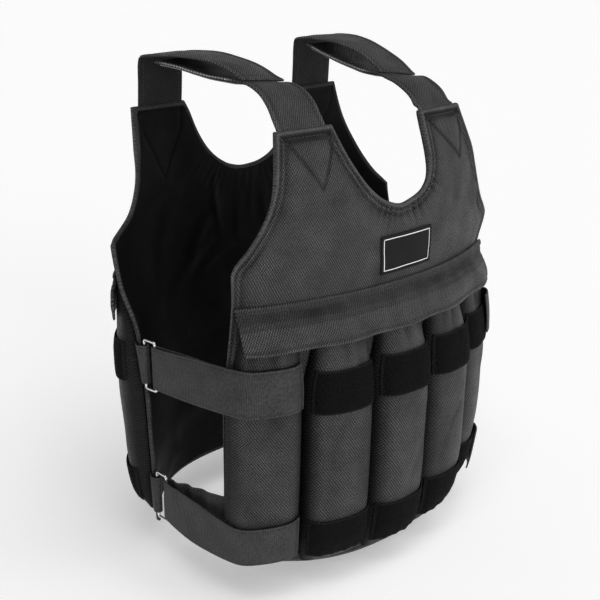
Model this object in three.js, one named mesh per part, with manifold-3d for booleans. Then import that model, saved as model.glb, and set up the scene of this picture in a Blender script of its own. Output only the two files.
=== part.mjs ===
// Weighted vest: two padded cloth panels joined by shoulder straps and side straps, with filled pockets round the body.
// Millimetres, +Z up. The vest faces -Y, and left and right are as seen by someone facing it, so left is -X.
// Heights are from a base line just under the front hem. The whole is then lowered, so that the origin is the seat
// under the shoulder straps, from which it hangs.
import * as THREE from 'three';
import { mergeVertices } from 'three/addons/utils/BufferGeometryUtils.js';
import Module from 'manifold-3d';

const wasm = await Module();
wasm.setup();

// Driving dimensions of the panels
const clearance = 0.4;            // gap between two pieces that fit one in the other
const drape = 1.1;                // gap between two soft layers that lie on each other
const panelHeight = 500;          // base line to the top of a shoulder tab
const frontHalfWidth = 192;
const backHalfWidth = 212;
const frontDepth = 149;           // mid-plane of the vest to the middle of the chest
const frontEdgeDepth = 92;        // the same at the side edge
const backDepth = 128;
const backEdgeDepth = 62;
const panelThickness = 4.5;
const tabThickness = 8;           // a shoulder tab is thicker, because the strap is sewn between its layers
const armholeHeight = 132;        // armhole corner to tab top
const neckDepthFront = 86;
const neckDepthBack = 91;
const frontTabInner = 64;         // middle of the vest to the inner edge of a shoulder tab
const frontTabOuter = 133;
const backTabInner = 80;
const backTabOuter = 151;
const frontHemFoot = 10;          // height of the front hem's lowest line
const frontHemRise = 30;          // the front hem curves up by this much to its side edges
const frontHemLean = 8;           // the vest hangs askew: its front hem is this much lower at the right edge
const backHemFoot = 48;
const backHemRise = -16;          // the back hem curves down to its side edges
const backHemLean = 0;

// Pockets, tapes and flaps
const frontPocketCount = 5;
const backPocketCount = 6;
const frontPocketMargin = 4;      // side edge of the front panel to its outer pocket
const backPocketMargin = 12;      // the same at the back, which leaves room for the ring tabs
const pocketGap = 3;              // clear width between two neighbouring pockets at the panel
const pocketBase = 12;            // hem to the foot of a pocket
const pocketTop = 313;            // base line to the mouth of a pocket, under the flap
const pocketDepth = 29;
const pocketSkin = 2.5;           // thickness left at the edge of a pocket
const upperTapeFoot = 216;
const upperTapeHeight = 46;
const lowerTapeFoot = 28;
const lowerTapeHeight = 54;
const heldTapeRise = 12;          // the tape under a side strap sits this much higher, so that the strap covers it
const tapeThickness = 1.6;
const flapTop = 334;
const flapFoot = 287;
const flapStand = 18;             // how far the flap's lower edge stands off the panel, over the pocket mouths
const flapThickness = 3;
const flapEndSlant = 12;          // each end of the flap runs in by this much at its lower edge
const badgeWidth = 78;
const badgeHeight = 41;
const badgeFoot = 343;
const badgeCentre = 14;           // right of the middle of the chest
const badgeThickness = 1.4;

// Straps and rings
const shoulderStrapWidth = 59;
const shoulderStrapThickness = 3;
const strapInsert = 38;           // length of strap sewn into a shoulder tab
const shoulderRise = 60;          // tab top to the highest line of the upper strap layer
const hookTapeThickness = 1.2;
const hookTapeMargin = 4;
const webbingWidth = 48;
const webbingThickness = 2;
const webbingOverlap = 34;        // length of webbing sewn behind the edge of the front panel
const lowerStrapBulge = 7;        // how far the lower strap's free edge stands out between its ring and its pocket
const upperStrapBulge = 3;
const webbingStiffness = 0.25;    // share of the pocket's taper that the webbing doesn't follow
const lowerStrapLift = 9;         // the lower strap's sewn end sits this much above its ring
const upperStrapFoot = 227;       // lower edge of the webbing on its pocket
const lowerStrapFoot = 29;
const upperRingFoot = 217;        // lower edge of the webbing at its ring
const lowerRingFoot = 54;
const ringWireRadius = 1.5;
const ringWidth = 17;             // between the centre lines of the two long sides of a ring
const ringHeight = 56;
const ringCorner = 2.6;           // radius of the wire's centre line at a ring's corners
const ringTabWidth = 44;
const ringTabThickness = 1.5;
const ringTabLeg = 5;

// Height of the seat under the straps, from which the vest hangs
const seatShare = 0.72;           // share of shoulderRise
const seatHeight = panelHeight + seatShare * shoulderRise;

// Section rows up each panel. height is a share of panelHeight, middle and edge are shares of the panel's depth in the
// middle and at its side edge, width is a share of its half width, and curve is the power of the plan's rounding.
const frontSections = [
  { height: 0.0, middle: 0.9, edge: 0.8, width: 0.945, curve: 2.2 },
  { height: 0.1, middle: 0.95, edge: 0.87, width: 0.975, curve: 2.2 },
  { height: 0.25, middle: 0.975, edge: 0.96, width: 1.01, curve: 2.2 },
  { height: 0.43, middle: 0.99, edge: 1.0, width: 1.01, curve: 2.2 },
  { height: 0.66, middle: 1.0, edge: 1.13, width: 0.98, curve: 2.2 },
  { height: 0.74, middle: 1.0, edge: 1.2, width: 1.0, curve: 2.2 },
  { height: 0.84, middle: 0.985, edge: 1.17, width: 1.0, curve: 2.2 },
  { height: 1.0, middle: 0.785, edge: 1.09, width: 1.0, curve: 2.2 },
];
const backSections = [
  { height: 0.0, middle: 0.84, edge: 0.44, width: 0.885, curve: 3.8 },
  { height: 0.1, middle: 0.885, edge: 0.44, width: 0.91, curve: 4 },
  { height: 0.25, middle: 0.925, edge: 0.42, width: 0.93, curve: 4 },
  { height: 0.43, middle: 0.955, edge: 0.36, width: 0.96, curve: 4 },
  { height: 0.54, middle: 0.975, edge: 0.42, width: 0.98, curve: 4 },
  { height: 0.65, middle: 1.0, edge: 0.82, width: 1.0, curve: 4 },
  { height: 0.74, middle: 1.0, edge: 1.0, width: 1.0, curve: 3.4 },
  { height: 0.86, middle: 0.985, edge: 1.05, width: 1.0, curve: 2.6 },
  { height: 1.0, middle: 0.835, edge: 1.66, width: 1.0, curve: 2.5 },
];

// Armhole outlines. rise is a share of armholeHeight above the corner, left and right are shares of the way in to the
// tab on each side: the vest hangs a little askew, so its two sides differ.
const frontArmhole = [
  { rise: 0.0, left: 0.0, right: 0.0 },
  { rise: 0.06, left: 0.06, right: 0.1 },
  { rise: 0.18, left: 0.29, right: 0.33 },
  { rise: 0.34, left: 0.54, right: 0.5 },
  { rise: 0.55, left: 0.76, right: 0.66 },
  { rise: 0.8, left: 0.905, right: 0.86 },
  { rise: 1.0, left: 1.0, right: 1.0 },
];
const backArmhole = [
  { rise: 0.0, left: 0.0, right: 0.0 },
  { rise: 0.05, left: 0.5, right: 0.08 },
  { rise: 0.12, left: 0.78, right: 0.2 },
  { rise: 0.24, left: 0.92, right: 0.37 },
  { rise: 0.4, left: 0.985, right: 0.57 },
  { rise: 0.66, left: 1.0, right: 0.82 },
  { rise: 1.0, left: 1.0, right: 1.0 },
];

// Necklines, from left to right. across is a share of the half width between the tabs, drop a share of the depth.
const frontNeckline = [
  { across: -1.0, drop: 0.0 },
  { across: -0.92, drop: 0.2 },
  { across: -0.81, drop: 0.43 },
  { across: -0.67, drop: 0.62 },
  { across: -0.45, drop: 0.81 },
  { across: -0.18, drop: 0.94 },
  { across: 0.12, drop: 1.0 },
  { across: 0.38, drop: 0.965 },
  { across: 0.62, drop: 0.9 },
  { across: 0.82, drop: 0.755 },
  { across: 0.92, drop: 0.56 },
  { across: 0.97, drop: 0.3 },
  { across: 1.0, drop: 0.0 },
];
const backNeckline = [
  { across: -1.0, drop: 0.0 },
  { across: -0.9, drop: 0.12 },
  { across: -0.74, drop: 0.34 },
  { across: -0.58, drop: 0.53 },
  { across: -0.4, drop: 0.71 },
  { across: -0.2, drop: 0.86 },
  { across: 0.02, drop: 0.96 },
  { across: 0.25, drop: 1.0 },
  { across: 0.48, drop: 0.985 },
  { across: 0.7, drop: 0.92 },
  { across: 0.87, drop: 0.78 },
  { across: 0.96, drop: 0.48 },
  { across: 1.0, drop: 0.0 },
];

// Pocket sections. height is a share of the way from the foot to the mouth, swell a share of pocketDepth, width a share
// of the pocket's own width, which the flap's seam gathers at the mouth.
const pocketSections = [
  { height: 0.0, swell: 0.16, width: 0.9 },
  { height: 0.05, swell: 0.5, width: 0.97 },
  { height: 0.14, swell: 0.82, width: 1.0 },
  { height: 0.35, swell: 0.98, width: 1.0 },
  { height: 0.58, swell: 1.0, width: 1.0 },
  { height: 0.75, swell: 0.9, width: 1.0 },
  { height: 0.87, swell: 0.6, width: 0.93 },
  { height: 1.0, swell: 0.1, width: 0.84 },
];
// Stations across a pocket, from edge to edge, and the roundness of its swell.
const pocketStations = [-1, -0.93, -0.75, -0.4, 0, 0.4, 0.75, 0.93, 1];
const pocketRoundness = 3.2;
// How full each pocket is, from left to right: the outer ones hang a little flatter.
const frontPocketFill = [1, 1, 1, 0.96, 0.74];
const backPocketFill = [0.84, 1, 1, 1, 1, 0.9];
const tapeStations = pocketStations.filter((station) => Math.abs(station) < 1);

// Shoulder strap routes. reach is a share of the way from the front tab to the back tab, rise a share of shoulderRise.
// The right strap sags more towards the chest than the left one.
const leftFrontRoute = [
  { reach: 0.03, rise: 0.17 },
  { reach: 0.06, rise: 0.34 },
  { reach: 0.1, rise: 0.485 },
  { reach: 0.14, rise: 0.57 },
  { reach: 0.2, rise: 0.635 },
  { reach: 0.28, rise: 0.635 },
  { reach: 0.37, rise: 0.645 },
  { reach: 0.46, rise: 0.665 },
  { reach: 0.56, rise: 0.72 },
  { reach: 0.66, rise: 0.78 },
  { reach: 0.77, rise: 0.815 },
  { reach: 0.86, rise: 0.83 },
];
const leftBackRoute = [
  { reach: 0.985, rise: 0.45 },
  { reach: 0.96, rise: 0.78 },
  { reach: 0.92, rise: 0.89 },
  { reach: 0.84, rise: 0.94 },
  { reach: 0.7, rise: 0.975 },
  { reach: 0.56, rise: 0.955 },
  { reach: 0.45, rise: 0.915 },
  { reach: 0.36, rise: 0.845 },
  { reach: 0.29, rise: 0.775 },
  { reach: 0.235, rise: 0.715 },
];
const rightFrontRoute = [
  { reach: 0.03, rise: 0.07 },
  { reach: 0.06, rise: 0.18 },
  { reach: 0.09, rise: 0.26 },
  { reach: 0.14, rise: 0.35 },
  { reach: 0.2, rise: 0.42 },
  { reach: 0.27, rise: 0.445 },
  { reach: 0.35, rise: 0.45 },
  { reach: 0.44, rise: 0.475 },
  { reach: 0.53, rise: 0.54 },
  { reach: 0.62, rise: 0.61 },
  { reach: 0.72, rise: 0.69 },
  { reach: 0.8, rise: 0.75 },
  { reach: 0.87, rise: 0.79 },
];
const rightBackRoute = [
  { reach: 0.985, rise: 0.45 },
  { reach: 0.96, rise: 0.8 },
  { reach: 0.925, rise: 0.9 },
  { reach: 0.86, rise: 0.955 },
  { reach: 0.74, rise: 0.98 },
  { reach: 0.63, rise: 0.95 },
  { reach: 0.54, rise: 0.885 },
  { reach: 0.46, rise: 0.805 },
  { reach: 0.39, rise: 0.715 },
  { reach: 0.33, rise: 0.62 },
  { reach: 0.275, rise: 0.515 },
];
// How far a strap's outer edge stands above its inner one, as a share of its width: both straps lean to the right.
const leftTilt = [
  { reach: 0.0, tilt: 0.0 },
  { reach: 0.08, tilt: 0.06 },
  { reach: 0.22, tilt: 0.1 },
  { reach: 0.3, tilt: 0.14 },
  { reach: 0.45, tilt: 0.12 },
  { reach: 0.66, tilt: 0.03 },
  { reach: 0.85, tilt: 0.0 },
];
const rightTilt = [
  { reach: 0.1, tilt: 0.0 },
  { reach: 0.2, tilt: -0.03 },
  { reach: 0.3, tilt: -0.15 },
  { reach: 0.41, tilt: -0.13 },
  { reach: 0.55, tilt: -0.08 },
  { reach: 0.75, tilt: 0.0 },
];
// Each strap leaves its tabs at its own distance from the middle of the vest.
const leftShoulder = {
  side: -1, frontCentre: 100.5, backCentre: 112.5, frontRoute: leftFrontRoute, backRoute: leftBackRoute, tilt: leftTilt,
};
const rightShoulder = {
  side: 1, frontCentre: 95.5, backCentre: 112.5, frontRoute: rightFrontRoute, backRoute: rightBackRoute, tilt: rightTilt,
};
const hookTapeFrom = 0.3;         // share of the reach where the hook tape on the front strap starts
const hookTapeTo = 0.84;

// Colours and finishes
const cloth = new THREE.MeshStandardMaterial({ name: 'black Oxford cloth', color: 0x2a2b2e, roughness: 0.75 });
const pocketCloth = new THREE.MeshStandardMaterial({ name: 'pocket Oxford cloth', color: 0x303135, roughness: 0.7 });
const loopTape = new THREE.MeshStandardMaterial({ name: 'loop tape', color: 0x131314, roughness: 0.95 });
const webbing = new THREE.MeshStandardMaterial({ name: 'webbing', color: 0x2d2e30, roughness: 0.8 });
const hookTape = new THREE.MeshStandardMaterial({ name: 'hook tape', color: 0x4a4b4e, roughness: 0.6 });
const steel = new THREE.MeshStandardMaterial({ name: 'nickelled steel', color: 0xd8d8d6, roughness: 0.2, metalness: 1 });
const patch = new THREE.MeshStandardMaterial({ name: 'woven patch', color: 0x1b1c1e, roughness: 0.8 });

// Smooth value of one column at a place along a table's first column
function along(rows, at, key, place) {
  const last = rows.length - 1;
  if (place <= rows[0][at]) return rows[0][key];
  if (place >= rows[last][at]) return rows[last][key];
  let i = 0;
  while (place > rows[i + 1][at]) i += 1;
  const slope = (a, b) => (rows[b][key] - rows[a][key]) / (rows[b][at] - rows[a][at]);
  const span = rows[i + 1][at] - rows[i][at];
  const here = slope(i, i + 1);
  const before = i > 0 ? slope(i - 1, i) : here;
  const after = i < last - 1 ? slope(i + 1, i + 2) : here;
  const easing = (a, b) => (a * b <= 0 ? 0 : (2 * a * b) / (a + b));
  const start = i > 0 ? easing(before, here) : here;
  const end = i < last - 1 ? easing(here, after) : here;
  const t = (place - rows[i][at]) / span;
  const blend = t * t * (3 - 2 * t);
  const bend = t * (1 - t) * ((1 - t) * start - t * end) * span;
  return rows[i][key] * (1 - blend) + rows[i + 1][key] * blend + bend;
}

// The two panels
const frontPanel = {
  facing: -1,
  halfWidth: frontHalfWidth,
  depth: frontDepth,
  edgeDepth: frontEdgeDepth,
  sections: frontSections,
  armhole: frontArmhole,
  neckDepth: neckDepthFront,
  neckline: frontNeckline,
  pocketCount: frontPocketCount,
  pocketMargin: frontPocketMargin,
  pocketFill: frontPocketFill,
  hem: { foot: frontHemFoot, rise: frontHemRise, lean: frontHemLean },
  tabInner: frontTabInner,
  tabOuter: frontTabOuter,
};
const backPanel = {
  facing: 1,
  halfWidth: backHalfWidth,
  depth: backDepth,
  edgeDepth: backEdgeDepth,
  sections: backSections,
  armhole: backArmhole,
  neckDepth: neckDepthBack,
  neckline: backNeckline,
  pocketCount: backPocketCount,
  pocketMargin: backPocketMargin,
  pocketFill: backPocketFill,
  hem: { foot: backHemFoot, rise: backHemRise, lean: backHemLean },
  tabInner: backTabInner,
  tabOuter: backTabOuter,
};

function halfWidthAt(panel, z) {
  return panel.halfWidth * along(panel.sections, 'height', 'width', z / panelHeight);
}

// Distance of the panel's middle layer from the vest's mid-plane
function depthAt(panel, x, z) {
  const height = z / panelHeight;
  const middle = panel.depth * along(panel.sections, 'height', 'middle', height);
  const edge = panel.edgeDepth * along(panel.sections, 'height', 'edge', height);
  const curve = along(panel.sections, 'height', 'curve', height);
  return middle - (middle - edge) * (Math.abs(x) / halfWidthAt(panel, z)) ** curve;
}

// Point on the panel at x and z, moved outward along its normal by lift
function panelPoint(panel, x, z, lift) {
  const step = 0.5;
  const slopeX = (depthAt(panel, x + step, z) - depthAt(panel, x - step, z)) / (2 * step);
  const slopeZ = (depthAt(panel, x, z + step) - depthAt(panel, x, z - step)) / (2 * step);
  const normal = new THREE.Vector3(-slopeX, panel.facing, -slopeZ).normalize();
  return new THREE.Vector3(x, panel.facing * depthAt(panel, x, z), z).addScaledVector(normal, lift);
}

const walkSteps = 48;             // steps taken along a panel's plan curve to measure it

// x on the panel at a distance round it, measured along its plan curve from the middle
function acrossAt(panel, around, z) {
  const stride = halfWidthAt(panel, z) / walkSteps;
  let travelled = 0;
  let x = 0;
  let depth = depthAt(panel, 0, z);
  for (let i = 0; i < walkSteps; i += 1) {
    const nextDepth = depthAt(panel, x + stride, z);
    const piece = Math.hypot(stride, nextDepth - depth);
    if (travelled + piece >= Math.abs(around)) {
      return Math.sign(around) * (x + stride * (Math.abs(around) - travelled) / piece);
    }
    travelled += piece;
    x += stride;
    depth = nextDepth;
  }
  return Math.sign(around) * x;
}

// Distance round the panel from its middle to its side edge
function edgeAround(panel, z) {
  const stride = halfWidthAt(panel, z) / walkSteps;
  let total = 0;
  for (let i = 0; i < walkSteps; i += 1) {
    const rise = depthAt(panel, (i + 1) * stride, z) - depthAt(panel, i * stride, z);
    total += Math.hypot(stride, rise);
  }
  return total;
}

function skinPoint(panel, around, z, lift) {
  return panelPoint(panel, acrossAt(panel, around, z), z, panelThickness / 2 + lift);
}

// Height of a panel's hem at x, and the share of it that a pocket follows at height z
function hemAt(panel, x) {
  const share = x / panel.halfWidth;
  return panel.hem.foot + panel.hem.rise * Math.abs(share) ** 2.5 - panel.hem.lean * share;
}
function hemFollow(z) {
  return Math.max(0, 1 - z / upperTapeFoot) ** 1.3;
}

// Closed solid between two grids of points that share a rim
function slab(columns, rows, faceAt, backAt) {
  const positions = [];
  const index = [];
  const stride = rows + 1;
  const count = (columns + 1) * stride;
  for (const at of [faceAt, backAt]) {
    for (let i = 0; i <= columns; i += 1) {
      for (let j = 0; j <= rows; j += 1) positions.push(...at(i, j).toArray());
    }
  }
  const quad = (a, b, c, d) => index.push(a, b, c, a, c, d);
  for (let i = 0; i < columns; i += 1) {
    for (let j = 0; j < rows; j += 1) {
      const a = i * stride + j;
      quad(a, a + stride, a + stride + 1, a + 1);
      quad(count + a, count + a + 1, count + a + stride + 1, count + a + stride);
    }
  }
  for (let i = 0; i < columns; i += 1) {
    const low = i * stride;
    const high = low + rows;
    quad(low, count + low, count + low + stride, low + stride);
    quad(high, high + stride, count + high + stride, count + high);
  }
  for (let j = 0; j < rows; j += 1) {
    const far = columns * stride + j;
    quad(j, j + 1, count + j + 1, count + j);
    quad(far, count + far, count + far + 1, far + 1);
  }
  return outward(positions, index);
}

// Tube along a closed loop of points
function loopTube(points, radius, sides, across) {
  const positions = [];
  const index = [];
  points.forEach((point, i) => {
    const next = points[(i + 1) % points.length];
    const previous = points[(i + points.length - 1) % points.length];
    const ahead = next.clone().sub(previous).normalize();
    const side = new THREE.Vector3().crossVectors(ahead, across).normalize();
    for (let j = 0; j < sides; j += 1) {
      const angle = (2 * Math.PI * j) / sides;
      const spoke = across.clone().multiplyScalar(Math.cos(angle)).addScaledVector(side, Math.sin(angle));
      positions.push(...point.clone().addScaledVector(spoke, radius).toArray());
    }
  });
  for (let i = 0; i < points.length; i += 1) {
    const here = i * sides;
    const next = ((i + 1) % points.length) * sides;
    for (let j = 0; j < sides; j += 1) {
      const k = (j + 1) % sides;
      index.push(here + j, here + k, next + k, here + j, next + k, next + j);
    }
  }
  return outward(positions, index);
}

// Geometry from points and faces, with the faces turned to point out
function outward(positions, index) {
  let volume = 0;
  const corner = (i) => new THREE.Vector3().fromArray(positions, 3 * i);
  for (let i = 0; i < index.length; i += 3) {
    const [a, b, c] = [corner(index[i]), corner(index[i + 1]), corner(index[i + 2])];
    volume += a.dot(b.cross(c));
  }
  if (volume < 0) {
    for (let i = 0; i < index.length; i += 3) [index[i + 1], index[i + 2]] = [index[i + 2], index[i + 1]];
  }
  const geometry = new THREE.BufferGeometry();
  geometry.setAttribute('position', new THREE.Float32BufferAttribute(positions, 3));
  geometry.setIndex(index);
  geometry.computeVertexNormals();
  return geometry;
}

function toSolid(geometry) {
  const bare = new THREE.BufferGeometry();
  bare.setAttribute('position', geometry.getAttribute('position').clone());
  bare.setIndex(geometry.getIndex().clone());
  const merged = mergeVertices(bare, 1e-4);
  return new wasm.Manifold(new wasm.Mesh({
    numProp: 3,
    vertProperties: new Float32Array(merged.getAttribute('position').array),
    triVerts: new Uint32Array(merged.getIndex().array),
  }));
}

function fromSolid(solid) {
  const mesh = solid.getMesh();
  const geometry = new THREE.BufferGeometry();
  geometry.setAttribute('position', new THREE.Float32BufferAttribute(Array.from(mesh.vertProperties), 3));
  geometry.setIndex(Array.from(mesh.triVerts));
  geometry.computeVertexNormals();
  return geometry;
}

// Outline of a panel as seen from the front: hem, side edge with armhole, and top edge with neckline
const tabColumns = 3;
const neckColumns = frontNeckline.length - 1;
const sideRows = 11;
const armholeRows = frontArmhole.length - 1;
const panelColumns = 2 * tabColumns + neckColumns;
const panelRows = sideRows + armholeRows;
const armholeFoot = panelHeight - armholeHeight;

// The hem's columns stand closer together toward the side edges, where the panel bends most
function hemEdge(panel, i) {
  const share = (2 * i) / panelColumns - 1;
  const x = (halfWidthAt(panel, 0) * (share + Math.sin((Math.PI * share) / 2))) / 2;
  return [x, hemAt(panel, x)];
}

function sideEdge(panel, side, j) {
  if (j <= sideRows) {
    const foot = hemEdge(panel, side < 0 ? 0 : panelColumns)[1];
    const z = foot + ((armholeFoot - foot) * j) / sideRows;
    return [side * halfWidthAt(panel, z), z];
  }
  const row = panel.armhole[j - sideRows];
  const inset = row[side < 0 ? 'left' : 'right'] * (panel.halfWidth - panel.tabOuter);
  return [side * (panel.halfWidth - inset), armholeFoot + row.rise * armholeHeight];
}

function topEdge(panel, i) {
  const tab = panel.tabOuter - panel.tabInner;
  if (i <= tabColumns) return [-panel.tabOuter + (tab * i) / tabColumns, panelHeight];
  if (i >= panelColumns - tabColumns) {
    return [panel.tabOuter - (tab * (panelColumns - i)) / tabColumns, panelHeight];
  }
  const { across, drop } = panel.neckline[i - tabColumns];
  return [across * panel.tabInner, panelHeight - drop * panel.neckDepth];
}

// Place in the outline of the grid's crossing i, j, blended from the four edges
function outlinePlace(panel, i, j) {
  const u = i / panelColumns;
  const v = j / panelRows;
  const hem = hemEdge(panel, i);
  const top = topEdge(panel, i);
  const left = sideEdge(panel, -1, j);
  const right = sideEdge(panel, 1, j);
  const corners = [
    [sideEdge(panel, -1, 0), (1 - u) * (1 - v)],
    [sideEdge(panel, 1, 0), u * (1 - v)],
    [sideEdge(panel, -1, panelRows), (1 - u) * v],
    [sideEdge(panel, 1, panelRows), u * v],
  ];
  return [0, 1].map((k) => {
    const blended = (1 - v) * hem[k] + v * top[k] + (1 - u) * left[k] + u * right[k];
    return corners.reduce((sum, [corner, share]) => sum - share * corner[k], blended);
  });
}

// A panel thickens to its tabs between these heights
const tabStart = panelHeight - 1.9 * strapInsert;
const tabFull = panelHeight - 1.15 * strapInsert;

function thicknessAt(z) {
  return panelThickness + (tabThickness - panelThickness) * THREE.MathUtils.smoothstep(z, tabStart, tabFull);
}

function panelGeometry(panel) {
  const at = (side) => (i, j) => {
    const [x, z] = outlinePlace(panel, i, j);
    return panelPoint(panel, x, z, (side * thicknessAt(z)) / 2);
  };
  return slab(panelColumns, panelRows, at(1), at(-1));
}

// Pockets
function pocketRow(share) {
  return {
    swell: pocketDepth * along(pocketSections, 'height', 'swell', share),
    width: along(pocketSections, 'height', 'width', share),
  };
}

// Point on a pocket's face: place counts pockets from the middle of the panel, station is -1 to 1 across the pocket,
// share is 0 to 1 up it
function pocketPoint(panel, place, station, share, lift, swollen) {
  const { swell, width } = pocketRow(share);
  const round = Math.sqrt(1 - Math.abs(station) ** pocketRoundness);
  const flatZ = pocketBase + share * (pocketTop - pocketBase);
  const pitchAt = (z) => (2 * (edgeAround(panel, z) - panel.pocketMargin)) / panel.pocketCount;
  const z = flatZ + hemAt(panel, acrossAt(panel, place * pitchAt(flatZ), flatZ)) * hemFollow(flatZ);
  const pitch = pitchAt(z);
  const around = place * pitch + (station * width * (pitch - pocketGap)) / 2;
  const fill = panel.pocketFill[place + (panel.pocketCount - 1) / 2];
  const stand = drape + (swollen ? pocketSkin + swell * fill * round : 0) + lift;
  return skinPoint(panel, around, z, stand);
}

const pocketRows = [0, 0.05, 0.14, 0.35, 0.6, 0.75, 0.87, 1];

function pocketGeometry(panel, place) {
  const at = (swollen) => (i, j) => pocketPoint(panel, place, pocketStations[i], pocketRows[j], 0, swollen);
  return slab(pocketStations.length - 1, pocketRows.length - 1, at(true), at(false));
}

function tapeGeometry(panel, place, foot, height) {
  const rows = 2;
  const at = (lift) => (i, j) => {
    const share = (foot - pocketBase + (height * j) / rows) / (pocketTop - pocketBase);
    return pocketPoint(panel, place, tapeStations[i], share, lift, true);
  };
  return slab(tapeStations.length - 1, rows, at(drape + tapeThickness), at(drape));
}

// The flap over the pocket mouths
function flapGeometry(panel) {
  const columns = 20;
  const rows = 2;
  const at = (lift) => (i, j) => {
    const share = j / rows;
    const z = flapTop - share * (flapTop - flapFoot);
    const reach = edgeAround(panel, z) - panel.pocketMargin - flapEndSlant * share;
    const around = reach * ((2 * i) / columns - 1);
    return skinPoint(panel, around, z, drape + flapStand * share ** 0.8 + lift);
  };
  return slab(columns, rows, at(flapThickness), at(0));
}

function badgeGeometry() {
  const columns = 6;
  const rows = 2;
  const at = (lift) => (i, j) => {
    const x = badgeCentre + badgeWidth * (i / columns - 0.5);
    return panelPoint(frontPanel, x, badgeFoot + (badgeHeight * j) / rows, panelThickness / 2 + lift);
  };
  return slab(columns, rows, at(drape + badgeThickness), at(drape));
}

// Middle line of a shoulder strap: up through its tab, then over the shoulder
const strapSpanStart = depthAt(frontPanel, (frontTabInner + frontTabOuter) / 2, panelHeight);
const strapSpanEnd = depthAt(backPanel, (backTabInner + backTabOuter) / 2, panelHeight);

// Depth at which the flat strap lies inside the curved tab: midway between the panel at its middle and at its edges
function depthInTab(panel, centre, z) {
  const half = shoulderStrapWidth / 2;
  const atEdges = (depthAt(panel, centre - half, z) + depthAt(panel, centre + half, z)) / 2;
  return (depthAt(panel, centre, z) + atEdges) / 2;
}

function strapCurve(panel, shoulder) {
  const { side, frontCentre, backCentre } = shoulder;
  const centre = panel.facing < 0 ? frontCentre : backCentre;
  const inTab = [strapInsert, strapInsert / 2, 0].map((below) => {
    const z = panelHeight - below;
    return new THREE.Vector3(side * centre, panel.facing * depthInTab(panel, centre, z), z);
  });
  const route = panel.facing < 0 ? shoulder.frontRoute : shoulder.backRoute;
  const over = route.map(({ reach, rise }) => new THREE.Vector3(
    side * (frontCentre + (backCentre - frontCentre) * reach),
    -strapSpanStart + reach * (strapSpanStart + strapSpanEnd),
    panelHeight + rise * shoulderRise,
  ));
  return new THREE.CatmullRomCurve3([...inTab, ...over], false, 'centripetal');
}

// Change of y for each millimetre outward across a panel's tab
function tabSlope(panel, z) {
  const change = depthAt(panel, panel.tabOuter, z) - depthAt(panel, panel.tabInner, z);
  return (panel.facing * change) / (panel.tabOuter - panel.tabInner);
}

// Flat band along a strap's middle line. In the tab it lies as the panel does, over the shoulder it has the strap's
// tilt. tail lengthens its first end.
function bandGeometry(panel, shoulder, range, width, lift, thickness, tail = 0) {
  const { side } = shoulder;
  const curve = strapCurve(panel, shoulder);
  const at = (offset) => (i, j) => {
    const t = range.from + ((range.to - range.from) * i) / range.steps;
    const point = curve.getPoint(t);
    const ahead = curve.getTangent(t);
    if (i === 0) point.addScaledVector(ahead, -tail);
    const reach = (point.y + strapSpanStart) / (strapSpanStart + strapSpanEnd);
    const tilt = along(shoulder.tilt, 'reach', 'tilt', reach);
    const across = new THREE.Vector3(side, tabSlope(panel, Math.min(point.z, panelHeight)), tilt);
    across.addScaledVector(ahead, -across.dot(ahead)).normalize();
    const up = new THREE.Vector3().crossVectors(across, ahead).multiplyScalar(side * panel.facing).normalize();
    return point.addScaledVector(across, width * (j - 0.5)).addScaledVector(up, offset);
  };
  return slab(range.steps, 1, at(lift + thickness / 2), at(lift - thickness / 2));
}

const strapSteps = 24;
const slotSteps = 9;
const pocketReach = 0.86;         // station at which the webbing starts and ends on a pocket
const rightStrapEnd = 0.1;        // the right straps are pulled less far, and end at this station

function shoulderStrap(panel, shoulder) {
  const range = { from: 0, to: 1, steps: strapSteps };
  return bandGeometry(panel, shoulder, range, shoulderStrapWidth, 0, shoulderStrapThickness);
}

// The slot between a tab's layers, one clearance larger than the strap all round
function tabSlot(panel, shoulder) {
  const range = { from: 0, to: slotSteps / strapSteps, steps: slotSteps };
  const width = shoulderStrapWidth + 2 * clearance;
  const thickness = shoulderStrapThickness + 2 * clearance;
  return toSolid(bandGeometry(panel, shoulder, range, width, 0, thickness, clearance));
}

function panelWithSlots(panel) {
  const slots = [leftShoulder, rightShoulder].map((shoulder) => tabSlot(panel, shoulder));
  return fromSolid(toSolid(panelGeometry(panel)).subtract(slots[0]).subtract(slots[1]));
}

// Share of a curve's own parameter at which it has come a share of the way over the shoulder
function parameterAtReach(curve, reach) {
  const goal = -strapSpanStart + reach * (strapSpanStart + strapSpanEnd);
  let low = 0;
  let high = 1;
  while (high - low > 1e-6) {
    const middle = (low + high) / 2;
    if (curve.getPoint(middle).y < goal) low = middle;
    else high = middle;
  }
  return low;
}

function hookTapeBand(shoulder) {
  const curve = strapCurve(frontPanel, shoulder);
  const from = parameterAtReach(curve, hookTapeFrom);
  const range = { from, to: parameterAtReach(curve, hookTapeTo), steps: 12 };
  const lift = shoulderStrapThickness / 2 + clearance + hookTapeThickness / 2;
  return bandGeometry(frontPanel, shoulder, range, shoulderStrapWidth - 2 * hookTapeMargin, lift, hookTapeThickness);
}

// A ring's two long bars, and the way from the back panel's side edge, where it hangs, to the front panel's
function ringPlace(side, foot) {
  const z = foot + webbingWidth / 2;
  const [backEdge, frontEdge] = [backPanel, frontPanel].map((panel) => (
    panelPoint(panel, side * halfWidthAt(panel, z), z, 0)
  ));
  const heading = frontEdge.sub(backEdge).normalize();
  const farBar = backEdge.clone().addScaledVector(heading, drape + ringWireRadius);
  const nearBar = farBar.clone().addScaledVector(heading, ringWidth);
  return { heading, farBar, nearBar };
}

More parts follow.
